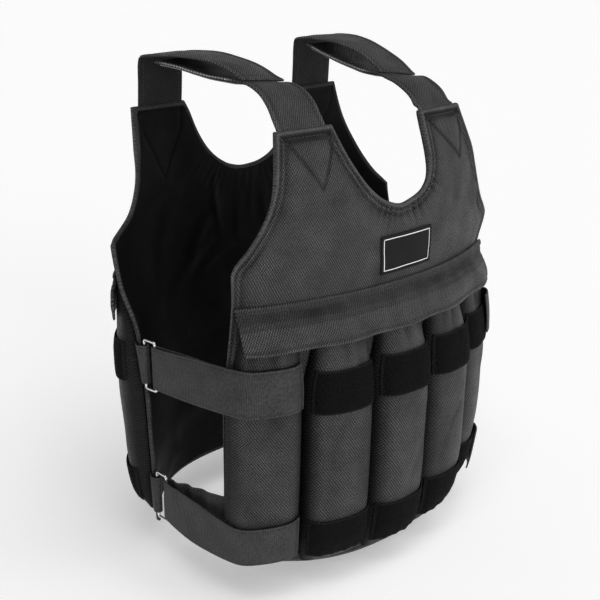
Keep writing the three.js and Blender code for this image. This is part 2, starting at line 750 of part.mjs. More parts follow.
function ringGeometry(side, foot) {
  const { heading, farBar } = ringPlace(side, foot);
  const points = [];
  const high = ringHeight / 2 - ringCorner;
  const corners = [
    { out: ringWidth - ringCorner, up: high, start: 0 },
    { out: ringCorner, up: high, start: 90 },
    { out: ringCorner, up: -high, start: 180 },
    { out: ringWidth - ringCorner, up: -high, start: 270 },
  ];
  for (const { out, up, start } of corners) {
    for (const turn of [0, 45, 90]) {
      const angle = THREE.MathUtils.degToRad(start + turn);
      const point = farBar.clone().addScaledVector(heading, out + ringCorner * Math.cos(angle));
      point.z += up + ringCorner * Math.sin(angle);
      points.push(point);
    }
  }
  const across = new THREE.Vector3().crossVectors(heading, new THREE.Vector3(0, 0, 1)).normalize();
  return loopTube(points, ringWireRadius, 6, across);
}

// Closed band of upright cloth: pointsAt gives the points of its curve at a height above its lower edge
function uprightBand(pointsAt, steps, rows, height, thickness) {
  const curves = [];
  for (let j = 0; j <= rows; j += 1) {
    curves.push(new THREE.CatmullRomCurve3(pointsAt((height * j) / rows), false, 'centripetal'));
  }
  const at = (offset) => (i, j) => {
    const point = curves[j].getPoint(i / steps);
    const ahead = curves[j].getTangent(i / steps);
    const flat = Math.hypot(ahead.x, ahead.y);
    return point.add(new THREE.Vector3(-ahead.y / flat, ahead.x / flat, 0).multiplyScalar(offset));
  };
  return slab(steps, rows, at(thickness / 2), at(-thickness / 2));
}

// Points of a half turn round an upright bar at height z: from its side towards start, past its side towards bulge
function turnRound(bar, z, start, bulge, radius) {
  return [0, 45, 90, 135, 180].map((degrees) => {
    const angle = THREE.MathUtils.degToRad(degrees);
    const point = new THREE.Vector3(bar.x, bar.y, z).addScaledVector(start, radius * Math.cos(angle));
    return point.addScaledVector(bulge, radius * Math.sin(angle));
  });
}

// Webbing loop that holds a ring's far bar, with a leg on each side of the back panel's edge
function ringTabGeometry(side, foot) {
  const { heading, farBar } = ringPlace(side, foot);
  const outside = new THREE.Vector3(-heading.y, heading.x, 0).multiplyScalar(side);
  const lift = panelThickness / 2 + drape + ringTabThickness / 2;
  const pointsAt = (height) => {
    const z = foot + (webbingWidth - ringTabWidth) / 2 + height;
    const x = halfWidthAt(backPanel, z);
    const leg = (inset, offset) => panelPoint(backPanel, side * (x - inset), z, offset);
    const outer = [leg(ringTabLeg, lift), leg(0, lift)];
    const inner = [leg(0, -lift), leg(ringTabLeg, -lift)];
    return [...outer, ...turnRound(farBar, z, outside, heading, lift), ...inner];
  };
  return uprightBand(pointsAt, 14, 1, ringTabWidth, ringTabThickness);
}

// Side webbing: from behind the front panel's edge to the ring, round its near bar and back over the outer pocket.
// It is stiff across its width, so it follows the pocket's taper only in part.
function sideStrapGeometry(side, end, { foot, ringFoot, bulge, lift }) {
  const { heading, nearBar } = ringPlace(side, ringFoot);
  const inside = new THREE.Vector3(heading.y, -heading.x, 0).multiplyScalar(side);
  const back = heading.clone().negate();
  const outerPlace = (side * (frontPocketCount - 1)) / 2;
  const radius = ringWireRadius + clearance + webbingThickness / 2;
  const behind = -(panelThickness / 2 + drape + webbingThickness / 2);
  const over = tapeThickness + 3 * drape + webbingThickness / 2;
  const shareAt = (height) => (foot + height - pocketBase) / (pocketTop - pocketBase);
  const fullest = pocketRow(shareAt(0)).swell > pocketRow(shareAt(webbingWidth)).swell ? 0 : webbingWidth;
  const heldAt = (height) => height + (fullest - height) * webbingStiffness;
  const stations = [0, 0.15, 0.37, 0.63, 0.85, 1].map((share) => pocketReach + share * (end - pocketReach));
  const pointsAt = (height) => {
    const z = ringFoot + height;
    const sewn = z + lift;
    const edge = halfWidthAt(frontPanel, sewn);
    const hidden = [1, 0.6, 0.2].map((share) => (
      panelPoint(frontPanel, side * (edge - share * webbingOverlap), sewn, behind - clearance * (2 - share))
    ));
    const turn = turnRound(nearBar, z, inside, back, radius);
    const onPocket = stations.map((station) => {
      const point = pocketPoint(frontPanel, outerPlace, side * station, shareAt(heldAt(height)), over, true);
      point.z += height - heldAt(height);
      return point;
    });
    const half = (a, b) => a.clone().add(b).multiplyScalar(0.5);
    const free = half(turn[4], onPocket[0]).addScaledVector(inside, -bulge * (1 - height / webbingWidth));
    return [...hidden, half(hidden[2], turn[0]), ...turn, free, ...onPocket];
  };
  return uprightBand(pointsAt, 28, 2, webbingWidth, webbingThickness);
}

const meshes = [];
function add(name, geometry, material) {
  const mesh = new THREE.Mesh(geometry, material);
  mesh.name = name;
  meshes.push(mesh);
}

add('front_panel', panelWithSlots(frontPanel), cloth);
add('back_panel', panelWithSlots(backPanel), cloth);
add('front_flap', flapGeometry(frontPanel), cloth);
add('back_flap', flapGeometry(backPanel), cloth);
for (const [name, panel] of [['front', frontPanel], ['back', backPanel]]) {
  for (let k = 0; k < panel.pocketCount; k += 1) {
    const place = k - (panel.pocketCount - 1) / 2;
    add(`${name}_pocket_${k + 1}`, pocketGeometry(panel, place), pocketCloth);
    const held = panel === frontPanel && k === 0;
    const upperFoot = upperTapeFoot + (held ? heldTapeRise : 0);
    add(`${name}_upper_tape_${k + 1}`, tapeGeometry(panel, place, upperFoot, upperTapeHeight), loopTape);
    add(`${name}_lower_tape_${k + 1}`, tapeGeometry(panel, place, lowerTapeFoot, lowerTapeHeight), loopTape);
  }
}
add('badge', badgeGeometry(), patch);
const levels = [
  { level: 'upper', foot: upperStrapFoot, ringFoot: upperRingFoot, bulge: upperStrapBulge, lift: 0 },
  { level: 'lower', foot: lowerStrapFoot, ringFoot: lowerRingFoot, bulge: lowerStrapBulge, lift: lowerStrapLift },
];
for (const [name, shoulder] of [['left', leftShoulder], ['right', rightShoulder]]) {
  const { side } = shoulder;
  const strapEnd = side < 0 ? -pocketReach : rightStrapEnd;
  add(`${name}_shoulder_front_strap`, shoulderStrap(frontPanel, shoulder), cloth);
  add(`${name}_shoulder_back_strap`, shoulderStrap(backPanel, shoulder), cloth);
  add(`${name}_shoulder_hook_tape`, hookTapeBand(shoulder), hookTape);
  for (const row of levels) {
    add(`${name}_${row.level}_side_strap`, sideStrapGeometry(side, strapEnd, row), webbing);
    add(`${name}_${row.level}_ring`, ringGeometry(side, row.ringFoot), steel);
    add(`${name}_${row.level}_ring_tab`, ringTabGeometry(side, row.ringFoot), webbing);
  }
}

const group = new THREE.Group();
group.position.z = -seatHeight;
group.add(...meshes);
export default group;
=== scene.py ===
import math
from collections import namedtuple

import bpy
import numpy as np
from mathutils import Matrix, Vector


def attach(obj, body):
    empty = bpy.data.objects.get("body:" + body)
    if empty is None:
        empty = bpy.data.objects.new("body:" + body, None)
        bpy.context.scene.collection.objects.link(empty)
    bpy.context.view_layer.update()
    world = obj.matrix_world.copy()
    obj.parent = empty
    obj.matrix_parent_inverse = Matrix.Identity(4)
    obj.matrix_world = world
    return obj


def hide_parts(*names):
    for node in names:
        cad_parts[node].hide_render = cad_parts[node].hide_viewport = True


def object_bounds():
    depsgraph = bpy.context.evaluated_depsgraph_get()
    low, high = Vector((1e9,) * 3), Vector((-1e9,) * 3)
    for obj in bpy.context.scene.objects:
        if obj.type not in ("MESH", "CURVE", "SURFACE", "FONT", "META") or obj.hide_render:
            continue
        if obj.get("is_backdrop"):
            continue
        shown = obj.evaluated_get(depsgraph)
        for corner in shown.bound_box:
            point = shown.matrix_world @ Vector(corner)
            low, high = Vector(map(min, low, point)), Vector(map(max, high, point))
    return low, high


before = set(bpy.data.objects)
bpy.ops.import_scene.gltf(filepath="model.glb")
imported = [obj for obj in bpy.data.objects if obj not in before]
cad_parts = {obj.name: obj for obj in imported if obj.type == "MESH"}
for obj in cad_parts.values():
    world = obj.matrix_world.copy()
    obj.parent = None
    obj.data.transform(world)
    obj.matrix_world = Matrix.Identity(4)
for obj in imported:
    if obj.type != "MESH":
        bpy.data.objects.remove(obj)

bl_info = {
    "name": "Weighted vest",
    "version": (1, 0, 0),
    "blender": (4, 5, 0),
    "location": "3D View > Sidebar > Vest",
    "description": "Dresses the vest's frame: padded panels, filled pockets, tapes, straps and rings",
    "category": "Object",
}

# Sizes in millimetres, as in the part's source; heights are from the base line under the front hem
CLEARANCE = 0.4
BINDING_WIDTH = 4.6
DRAPE = 1.1
PANEL_HEIGHT = 500.0
PANEL_THICKNESS = 4.5
TAB_THICKNESS = 8.0
ARMHOLE_HEIGHT = 132.0
POCKET_GAP = 3.0
POCKET_BASE = 12.0
POCKET_TOP = 313.0
POCKET_DEPTH = 29.0
POCKET_SKIN = 2.5
POCKET_ROUNDNESS = 3.2
UPPER_TAPE_FOOT = 216.0
UPPER_TAPE_HEIGHT = 46.0
LOWER_TAPE_FOOT = 28.0
LOWER_TAPE_HEIGHT = 54.0
HELD_TAPE_RISE = 12.0
TAPE_THICKNESS = 1.6
TAPE_REACH = 0.93
FLAP_TOP = 334.0
FLAP_FOOT = 287.0
FLAP_STAND = 18.0
FLAP_THICKNESS = 3.0
FLAP_END_SLANT = 12.0
BADGE_WIDTH = 78.0
BADGE_HEIGHT = 41.0
BADGE_FOOT = 343.0
BADGE_CENTRE = 14.0
BADGE_THICKNESS = 1.4
STRAP_WIDTH = 59.0
STRAP_THICKNESS = 3.0
STRAP_INSERT = 38.0
SHOULDER_RISE = 60.0
HOOK_TAPE_THICKNESS = 1.2
HOOK_TAPE_MARGIN = 4.0
HOOK_TAPE_FROM = 0.3
HOOK_TAPE_TO = 0.84
WEBBING_WIDTH = 48.0
WEBBING_THICKNESS = 2.0
WEBBING_OVERLAP = 34.0
WEBBING_STIFFNESS = 0.25
UPPER_STRAP_FOOT = 227.0
LOWER_STRAP_FOOT = 29.0
UPPER_RING_FOOT = 217.0
LOWER_RING_FOOT = 54.0
UPPER_STRAP_BULGE = 3.0
LOWER_STRAP_BULGE = 7.0
LOWER_STRAP_LIFT = 15.0
LOWER_STRAP_RISE = 6.0
# The upper shoulder strap's end: how far it is pressed down, how long the press is, and its turn, as a slope
END_SETTLE = 1.75
END_PRESS = 34.0
END_TILT = 0.05
# Painted highlight along the lower shoulder strap's edge, as a lightness beside the cloth's own
EDGE_HIGHLIGHT = 5.0
POCKET_REACH = 0.86
RIGHT_STRAP_END = 0.1
RING_WIRE_RADIUS = 1.5
RING_WIDTH = 17.0
RING_HEIGHT = 56.0
RING_CORNER = 2.6
RING_TAB_WIDTH = 44.0
RING_TAB_THICKNESS = 1.5
RING_TAB_LEG = 5.0
SEAT_HEIGHT = PANEL_HEIGHT + 0.72 * SHOULDER_RISE
TAB_START = PANEL_HEIGHT - 1.9 * STRAP_INSERT
TAB_FULL = PANEL_HEIGHT - 1.15 * STRAP_INSERT
ARMHOLE_FOOT = PANEL_HEIGHT - ARMHOLE_HEIGHT

# Tables of the form, with the columns that the part's source names
Section = namedtuple("Section", "height middle edge width curve")
FRONT_SECTIONS = [
    Section(0.0, 0.9, 0.8, 0.945, 2.2),
    Section(0.1, 0.95, 0.87, 0.975, 2.2),
    Section(0.25, 0.975, 0.96, 1.01, 2.2),
    Section(0.43, 0.99, 1.0, 1.01, 2.2),
    Section(0.66, 1.0, 1.13, 0.98, 2.2),
    Section(0.74, 1.0, 1.2, 1.0, 2.2),
    Section(0.84, 0.985, 1.17, 1.0, 2.2),
    Section(1.0, 0.785, 1.09, 1.0, 2.2),
]
BACK_SECTIONS = [
    Section(0.0, 0.84, 0.44, 0.885, 3.8),
    Section(0.1, 0.885, 0.44, 0.91, 4.0),
    Section(0.25, 0.925, 0.42, 0.93, 4.0),
    Section(0.43, 0.955, 0.36, 0.96, 4.0),
    Section(0.54, 0.975, 0.42, 0.98, 4.0),
    Section(0.65, 1.0, 0.82, 1.0, 4.0),
    Section(0.74, 1.0, 1.0, 1.0, 3.4),
    Section(0.86, 0.985, 1.05, 1.0, 2.6),
    Section(1.0, 0.835, 1.66, 1.0, 2.5),
]
Armhole = namedtuple("Armhole", "rise left right")
FRONT_ARMHOLE = [
    Armhole(0.0, 0.0, 0.0),
    Armhole(0.06, 0.06, 0.1),
    Armhole(0.18, 0.29, 0.33),
    Armhole(0.34, 0.54, 0.5),
    Armhole(0.55, 0.76, 0.66),
    Armhole(0.8, 0.905, 0.86),
    Armhole(1.0, 1.0, 1.0),
]
BACK_ARMHOLE = [
    Armhole(0.0, 0.0, 0.0),
    Armhole(0.05, 0.5, 0.08),
    Armhole(0.12, 0.78, 0.2),
    Armhole(0.24, 0.92, 0.37),
    Armhole(0.4, 0.985, 0.57),
    Armhole(0.66, 1.0, 0.82),
    Armhole(1.0, 1.0, 1.0),
]
Neck = namedtuple("Neck", "across drop")
FRONT_NECKLINE = [
    Neck(-1.0, 0.0),
    Neck(-0.92, 0.2),
    Neck(-0.81, 0.43),
    Neck(-0.67, 0.62),
    Neck(-0.45, 0.81),
    Neck(-0.18, 0.94),
    Neck(0.12, 1.0),
    Neck(0.38, 0.965),
    Neck(0.62, 0.9),
    Neck(0.82, 0.755),
    Neck(0.92, 0.56),
    Neck(0.97, 0.3),
    Neck(1.0, 0.0),
]
BACK_NECKLINE = [
    Neck(-1.0, 0.0),
    Neck(-0.9, 0.12),
    Neck(-0.74, 0.34),
    Neck(-0.58, 0.53),
    Neck(-0.4, 0.71),
    Neck(-0.2, 0.86),
    Neck(0.02, 0.96),
    Neck(0.25, 1.0),
    Neck(0.48, 0.985),
    Neck(0.7, 0.92),
    Neck(0.87, 0.78),
    Neck(0.96, 0.48),
    Neck(1.0, 0.0),
]
PocketRow = namedtuple("PocketRow", "height swell width")
POCKET_SECTIONS = [
    PocketRow(0.0, 0.16, 0.9),
    PocketRow(0.05, 0.5, 0.97),
    PocketRow(0.14, 0.82, 1.0),
    PocketRow(0.35, 0.98, 1.0),
    PocketRow(0.58, 1.0, 1.0),
    PocketRow(0.75, 0.9, 1.0),
    PocketRow(0.87, 0.6, 0.93),
    PocketRow(1.0, 0.1, 0.84),
]
POCKET_MOUTHS = POCKET_SECTIONS[:-2] + [PocketRow(0.87, 0.6, 0.87), PocketRow(1.0, 0.1, 0.76)]
Route = namedtuple("Route", "reach rise")
LEFT_FRONT_ROUTE = [
    Route(0.03, 0.17), Route(0.06, 0.34), Route(0.1, 0.485), Route(0.14, 0.57), Route(0.2, 0.635),
    Route(0.28, 0.635), Route(0.37, 0.645), Route(0.46, 0.665), Route(0.56, 0.72), Route(0.66, 0.78),
    Route(0.77, 0.815), Route(0.86, 0.83),
]
LEFT_BACK_ROUTE = [
    Route(0.99, 0.45), Route(0.985, 0.76), Route(0.972, 0.87), Route(0.925, 0.915), Route(0.84, 0.945),
    Route(0.7, 0.975),
    Route(0.56, 0.955), Route(0.45, 0.915), Route(0.36, 0.845), Route(0.29, 0.775), Route(0.235, 0.715),
]
RIGHT_FRONT_ROUTE = [
    Route(0.03, 0.07), Route(0.06, 0.18), Route(0.09, 0.26), Route(0.14, 0.35), Route(0.2, 0.42),
    Route(0.27, 0.445), Route(0.35, 0.45), Route(0.44, 0.475), Route(0.53, 0.54), Route(0.62, 0.61),
    Route(0.72, 0.705), Route(0.8, 0.785), Route(0.87, 0.85),
]
RIGHT_BACK_ROUTE = [
    Route(0.99, 0.45), Route(0.985, 0.78), Route(0.975, 0.92), Route(0.93, 0.97), Route(0.86, 0.995),
    Route(0.75, 0.995), Route(0.63, 0.955), Route(0.54, 0.885), Route(0.46, 0.805),
    Route(0.39, 0.715), Route(0.33, 0.62),
    Route(0.275, 0.515),
]
Tilt = namedtuple("Tilt", "reach tilt")
LEFT_TILT = [
    Tilt(0.0, 0.0), Tilt(0.08, 0.06), Tilt(0.22, 0.1), Tilt(0.3, 0.14), Tilt(0.45, 0.12), Tilt(0.66, 0.03),
    Tilt(0.85, 0.0),
]
RIGHT_TILT = [
    Tilt(0.1, 0.0), Tilt(0.2, -0.03), Tilt(0.3, -0.15), Tilt(0.41, -0.13), Tilt(0.55, -0.08),
    Tilt(0.75, 0.0),
]
Shoulder = namedtuple("Shoulder", "name side front_centre back_centre front_route back_route tilt")
LEFT_SHOULDER = Shoulder("left", -1, 100.5, 112.5, LEFT_FRONT_ROUTE, LEFT_BACK_ROUTE, LEFT_TILT)
RIGHT_SHOULDER = Shoulder("right", 1, 95.5, 112.5, RIGHT_FRONT_ROUTE, RIGHT_BACK_ROUTE, RIGHT_TILT)

# Folds pressed in or standing up, in mm: turn is degrees from the upright, height is out of the cloth
Fold = namedtuple("Fold", "x z turn length width height")
FRONT_FOLDS = [
    Fold(150, 404, -6, 26, 5, 1.8),
    Fold(163, 396, 4, 22, 4, -1.5),
    Fold(138, 388, -14, 24, 6, -1.2),
    Fold(104, 424, 20, 20, 9, -2.0),
    Fold(84, 398, 28, 30, 10, 1.4),
    Fold(118, 402, -30, 34, 11, 1.2),
    Fold(-62, 420, 42, 36, 12, 1.2),
    Fold(-108, 405, 12, 44, 14, -1.3),
    Fold(-150, 372, 40, 26, 9, 1.2),
    Fold(-30, 372, 70, 60, 14, -1.0),
    Fold(-90, 352, 80, 60, 10, 1.0),
    Fold(60, 350, 95, 50, 9, -0.9),
]
FRONT_LINING_FOLDS = [
    Fold(-60, 300, 55, 60, 12, 2.0),
    Fold(40, 240, 110, 70, 14, 2.0),
    Fold(-20, 380, 10, 40, 8, 1.6),
    Fold(70, 340, -30, 50, 12, 1.6),
    Fold(0, 130, 80, 80, 14, 1.8),
]
BACK_FOLDS = [
    Fold(-70, 400, 30, 40, 12, 1.4),
    Fold(80, 392, -26, 44, 12, 1.4),
    Fold(0, 372, 90, 60, 12, -1.2),
    Fold(-140, 372, -18, 30, 8, 1.2),
    Fold(150, 376, 14, 30, 8, 1.2),
]
BACK_LINING_FOLDS = [
    Fold(-19, 309, 62, 34, 6, 3.0),
    Fold(28, 312, 100, 26, 5, 2.4),
    Fold(-48, 338, 35, 30, 7, 2.4),
    Fold(-70, 300, 48, 42, 9, 2.4),
    Fold(10, 352, 8, 34, 5, 2.2),
    Fold(-25, 366, -6, 34, 5, 2.0),
    Fold(30, 372, 4, 26, 4, 1.8),
    Fold(52, 352, -12, 34, 6, 2.0),
    Fold(-110, 330, 15, 60, 10, 2.2),
    Fold(-120, 220, 80, 60, 16, 2.0),
    Fold(-30, 240, 110, 80, 16, 2.2),
    Fold(-80, 120, 70, 60, 14, 1.8),
]
Seam = namedtuple("Seam", "x z")
FRONT_SEAMS = [
    [Seam(-126, 491), Seam(-122.8, 489), Seam(-92.3, 441.8), Seam(-71.9, 478), Seam(-70, 491)],
    [Seam(-128, 491.5), Seam(-70, 491.5)],
    [Seam(70, 491), Seam(74.4, 487), Seam(115.3, 444.7), Seam(127, 473), Seam(127, 491)],
    [Seam(69, 491.5), Seam(128, 491.5)],
]
BACK_SEAMS = [
    [Seam(-145, 491), Seam(-141, 470), Seam(-103, 411), Seam(-84, 468), Seam(-86, 491)],
    [Seam(-146, 491.5), Seam(-85, 491.5)],
    [Seam(86, 491), Seam(84, 468), Seam(103, 411), Seam(141, 470), Seam(145, 491)],
    [Seam(85, 491.5), Seam(146, 491.5)],
]

Panel = namedtuple(
    "Panel",
    "name facing half_width depth edge_depth sections armhole neck_depth neckline pocket_count pocket_margin"
    " pocket_fill hem_foot hem_rise hem_lean tab_inner tab_outer folds lining_folds"
    " seams gather_from gather_to",
)
FRONT = Panel(
    "front", -1, 192.0, 149.0, 92.0, FRONT_SECTIONS, FRONT_ARMHOLE, 86.0, FRONT_NECKLINE, 5, 4.0,
    (1, 1, 1, 0.96, 0.74), 10.0, 30.0, 8.0, 64.0, 133.0, FRONT_FOLDS, FRONT_LINING_FOLDS,
    FRONT_SEAMS, 0.3, 0.82,
)
BACK = Panel(
    "back", 1, 212.0, 128.0, 62.0, BACK_SECTIONS, BACK_ARMHOLE, 91.0, BACK_NECKLINE, 6, 12.0,
    (0.84, 1, 1, 1, 1, 0.9), 48.0, -16.0, 0.0, 80.0, 151.0, BACK_FOLDS, BACK_LINING_FOLDS,
    BACK_SEAMS, 0.2, 0.85,
)
TAB_COLUMNS = 3
NECK_COLUMNS = len(FRONT_NECKLINE) - 1
SIDE_ROWS = 11
PANEL_COLUMNS = 2 * TAB_COLUMNS + NECK_COLUMNS
PANEL_ROWS = SIDE_ROWS + len(FRONT_ARMHOLE) - 1
WALK_STEPS = 48


# Numbers and curves


def ease(at, value, place):
    """Smooth value at places, through values given at rising stations."""
    at = np.asarray(at, float)
    value = np.asarray(value, float)
    place = np.clip(place, at[0], at[-1])
    i = np.clip(np.searchsorted(at, place, side="right") - 1, 0, len(at) - 2)
    span = np.diff(at)
    slope = np.diff(value) / span
    total = slope[:-1] + slope[1:]
    agree = slope[:-1] * slope[1:] > 0
    eased = np.where(agree, 2 * slope[:-1] * slope[1:] / np.where(agree, total, 1), 0)
    start = np.concatenate([slope[:1], eased])
    end = np.concatenate([eased, slope[-1:]])
    t = (place - at[i]) / span[i]
    blend = t * t * (3 - 2 * t)
    bend = t * (1 - t) * ((1 - t) * start[i] - t * end[i]) * span[i]
    return value[i] * (1 - blend) + value[i + 1] * blend + bend


def along(rows, column, place):
    """Smooth value of one column at places along a table's first column."""
    return ease([row[0] for row in rows], [getattr(row, column) for row in rows], place)


def by_number(rows, column, number):
    """Smooth value of one column at fractional row numbers."""
    return ease(range(len(rows)), [getattr(row, column) for row in rows], number)


def smoothstep(value, low, high):
    share = np.clip((value - low) / (high - low), 0, 1)
    return share * share * (3 - 2 * share)


def hump(value, middle, width):
    return np.exp(-(((value - middle) / width) ** 2))


def unit(vectors):
    return vectors / np.maximum(np.linalg.norm(vectors, axis=-1, keepdims=True), 1e-9)


def soft_noise(u, v, size, seed):
    """Smooth unevenness from -1 to 1 over lengths of about size."""
    turns = np.random.default_rng(seed)
    total = np.zeros(np.broadcast(u, v).shape)
    waves = 7
    for _ in range(waves):
        angle = turns.uniform(0, 2 * math.pi)
        pitch = size * turns.uniform(0.8, 2.2)
        phase = turns.uniform(0, 2 * math.pi)
        total += np.sin(2 * math.pi * (u * math.cos(angle) + v * math.sin(angle)) / pitch + phase)
    return total / math.sqrt(waves) / 1.6


def smooth_curve(points, shares):
    """Points and directions at shares of a centripetal Catmull-Rom curve, as the part's source draws it."""
    points = np.asarray(points, float)
    count = len(points)
    first = 2 * points[0] - points[1]
    last = 2 * points[-1] - points[-2]
    padded = np.concatenate([[first], points, [last]])
    place = np.asarray(shares, float) * (count - 1)
    i = np.clip(np.floor(place).astype(int), 0, count - 2)
    t = (place - i)[:, None]
    p0, p1, p2, p3 = (padded[i + k] for k in range(4))
    gaps = []
    for a, b in ((p0, p1), (p1, p2), (p2, p3)):
        gaps.append(np.maximum(((a - b) ** 2).sum(-1, keepdims=True) ** 0.25, 1e-4))
    d0, d1, d2 = gaps
    start = ((p1 - p0) / d0 - (p2 - p0) / (d0 + d1) + (p2 - p1) / d1) * d1
    end = ((p2 - p1) / d1 - (p3 - p1) / (d1 + d2) + (p3 - p2) / d2) * d1
    c2 = -3 * p1 + 3 * p2 - 2 * start - end
    c3 = 2 * p1 - 2 * p2 + start + end
    return p1 + t * (start + t * (c2 + t * c3)), unit(start + t * (2 * c2 + t * 3 * c3))


def run_lengths(points):
    """Distance along a line of points to each of them."""
    steps = np.linalg.norm(np.diff(points, axis=0), axis=1)
    return np.concatenate([[0], np.cumsum(steps)])


def spread(length, steps, stops=(), rim=(0, 0.4, 1.0, 1.8, 2.8, 4.0, 5.4, 7.0, 9.0, 11.5)):
    """Distances along a length, closer together at both ends, that pass through each stop."""
    rim = [r for r in rim if r < 0.3 * length]
    knots = [rim[-1], *stops, length - rim[-1]]
    inner = []
    for low, high, step in zip(knots, knots[1:], steps):
        count = max(1, round((high - low) / step))
        inner += list(np.linspace(low, high, count + 1)[:-1])
    return np.array(rim[:-1] + inner + [length - r for r in reversed(rim)])


# The form of the panels, as in the part's source


def half_width_at(panel, z):
    return panel.half_width * along(panel.sections, "width", z / PANEL_HEIGHT)


def depth_at(panel, x, z):
    height = z / PANEL_HEIGHT
    middle = panel.depth * along(panel.sections, "middle", height)
    edge = panel.edge_depth * along(panel.sections, "edge", height)
    curve = along(panel.sections, "curve", height)
    return middle - (middle - edge) * (np.abs(x) / half_width_at(panel, z)) ** curve


def panel_normal(panel, x, z):
    step = 0.5
    slope_x = (depth_at(panel, x + step, z) - depth_at(panel, x - step, z)) / (2 * step)
    slope_z = (depth_at(panel, x, z + step) - depth_at(panel, x, z - step)) / (2 * step)
    slope_x, slope_z = np.broadcast_arrays(slope_x, slope_z)
    return unit(np.stack([-slope_x, np.full(slope_x.shape, float(panel.facing)), -slope_z], -1))


def panel_point(panel, x, z, lift):
    """Points of a panel at x and z, moved out along its normal by lift."""
    x, z, lift = np.broadcast_arrays(np.asarray(x, float), np.asarray(z, float), np.asarray(lift, float))
    point = np.stack([x, panel.facing * depth_at(panel, x, z), z], -1)
    return point + panel_normal(panel, x, z) * lift[..., None]


def plan_lengths(panel, z):
    stations = np.linspace(0, 1, WALK_STEPS + 1)
    z = np.asarray(z, float)[..., None]
    x = half_width_at(panel, z) * stations
    pieces = np.hypot(np.diff(x), np.diff(depth_at(panel, x, z)))
    return np.concatenate([np.zeros(pieces.shape[:-1] + (1,)), np.cumsum(pieces, -1)], -1)


def across_at(panel, around, z):
    """x at a distance round the panel from its middle."""
    around = np.asarray(around, float)
    z = np.asarray(z, float)
    lengths = plan_lengths(panel, z)
    shape = np.broadcast(around, z).shape
    goal = np.broadcast_to(np.abs(around), shape)
    lengths = np.broadcast_to(lengths, shape + (WALK_STEPS + 1,))
    i = np.clip((lengths < goal[..., None]).sum(-1) - 1, 0, WALK_STEPS - 1)[..., None]
    low = np.take_along_axis(lengths, i, -1)[..., 0]
    high = np.take_along_axis(lengths, i + 1, -1)[..., 0]
    share = np.clip((goal - low) / (high - low), 0, 1)
    return np.sign(around) * half_width_at(panel, z) * (i[..., 0] + share) / WALK_STEPS


def edge_around(panel, z):
    return plan_lengths(panel, z)[..., -1]


def skin_point(panel, around, z, lift):
    return panel_point(panel, across_at(panel, around, z), z, PANEL_THICKNESS / 2 + lift)


def hem_at(panel, x):
    share = np.asarray(x, float) / panel.half_width
    return panel.hem_foot + panel.hem_rise * np.abs(share) ** 2.5 - panel.hem_lean * share


def hem_edge(panel, u):
    share = 2 * u - 1
    x = half_width_at(panel, 0.0) * (share + np.sin(math.pi * share / 2)) / 2
    return x, hem_at(panel, x)


def side_edge(panel, side, v):
    row = np.asarray(v, float) * PANEL_ROWS
    foot = hem_at(panel, side * half_width_at(panel, 0.0))
    straight = foot + (ARMHOLE_FOOT - foot) * np.minimum(row, SIDE_ROWS) / SIDE_ROWS
    number = np.maximum(row - SIDE_ROWS, 0)
    inset = by_number(panel.armhole, "left" if side < 0 else "right", number)
    rise = by_number(panel.armhole, "rise", number)
    x = np.where(
        row <= SIDE_ROWS,
        half_width_at(panel, straight),
        panel.half_width - inset * (panel.half_width - panel.tab_outer),
    )
    z = np.where(row <= SIDE_ROWS, straight, ARMHOLE_FOOT + rise * ARMHOLE_HEIGHT)
    return side * x, z


def top_edge(panel, u):
    i = np.asarray(u, float) * PANEL_COLUMNS
    tab = (panel.tab_outer - panel.tab_inner) / TAB_COLUMNS
    number = np.clip(i - TAB_COLUMNS, 0, NECK_COLUMNS)
    x = by_number(panel.neckline, "across", number) * panel.tab_inner
    z = PANEL_HEIGHT - by_number(panel.neckline, "drop", number) * panel.neck_depth
    x = np.where(i <= TAB_COLUMNS, -panel.tab_outer + tab * i, x)
    x = np.where(i >= PANEL_COLUMNS - TAB_COLUMNS, panel.tab_outer - tab * (PANEL_COLUMNS - i), x)
    on_tab = (i <= TAB_COLUMNS) | (i >= PANEL_COLUMNS - TAB_COLUMNS)
    return x, np.where(on_tab, PANEL_HEIGHT, z)


def outline_place(panel, u, v):
    """x and z of the panel's grid at shares across and up, blended from its four edges."""
    hem, top = hem_edge(panel, u), top_edge(panel, u)
    left, right = side_edge(panel, -1, v), side_edge(panel, 1, v)
    corners = []
    for side, across in ((-1, 1 - u), (1, u)):
        corners.append((side_edge(panel, side, 0.0), across * (1 - v)))
        corners.append((side_edge(panel, side, 1.0), across * v))
    places = []
    for k in range(2):
        blended = (1 - v) * hem[k] + v * top[k] + (1 - u) * left[k] + u * right[k]
        places.append(blended - sum(corner[k] * share for corner, share in corners))
    return places


def thickness_at(z):
    return PANEL_THICKNESS + (TAB_THICKNESS - PANEL_THICKNESS) * smoothstep(z, TAB_START, TAB_FULL)


def line_distance(points, line):
    """Distance of each point from a line of points, and how far along the line its nearest place is."""
    start, step = line[:-1], np.diff(line, axis=0)
    run = run_lengths(line)
    size = np.maximum((step**2).sum(1), 1e-9)
    flat = points.reshape(-1, points.shape[-1])
    distance, place = [], []
    chunk = 3000
    for low in range(0, len(flat), chunk):
        part = flat[low : low + chunk, None]
        share = np.clip(((part - start) * step).sum(-1) / size, 0, 1)
        gap = np.linalg.norm(part - start - share[..., None] * step, axis=-1)
        best = gap.argmin(1)
        rows = np.arange(len(part))
        distance.append(gap[rows, best])
        place.append(run[best] + share[rows, best] * np.sqrt(size[best]))
    shape = points.shape[:-1]
    return np.concatenate(distance).reshape(shape), np.concatenate(place).reshape(shape)


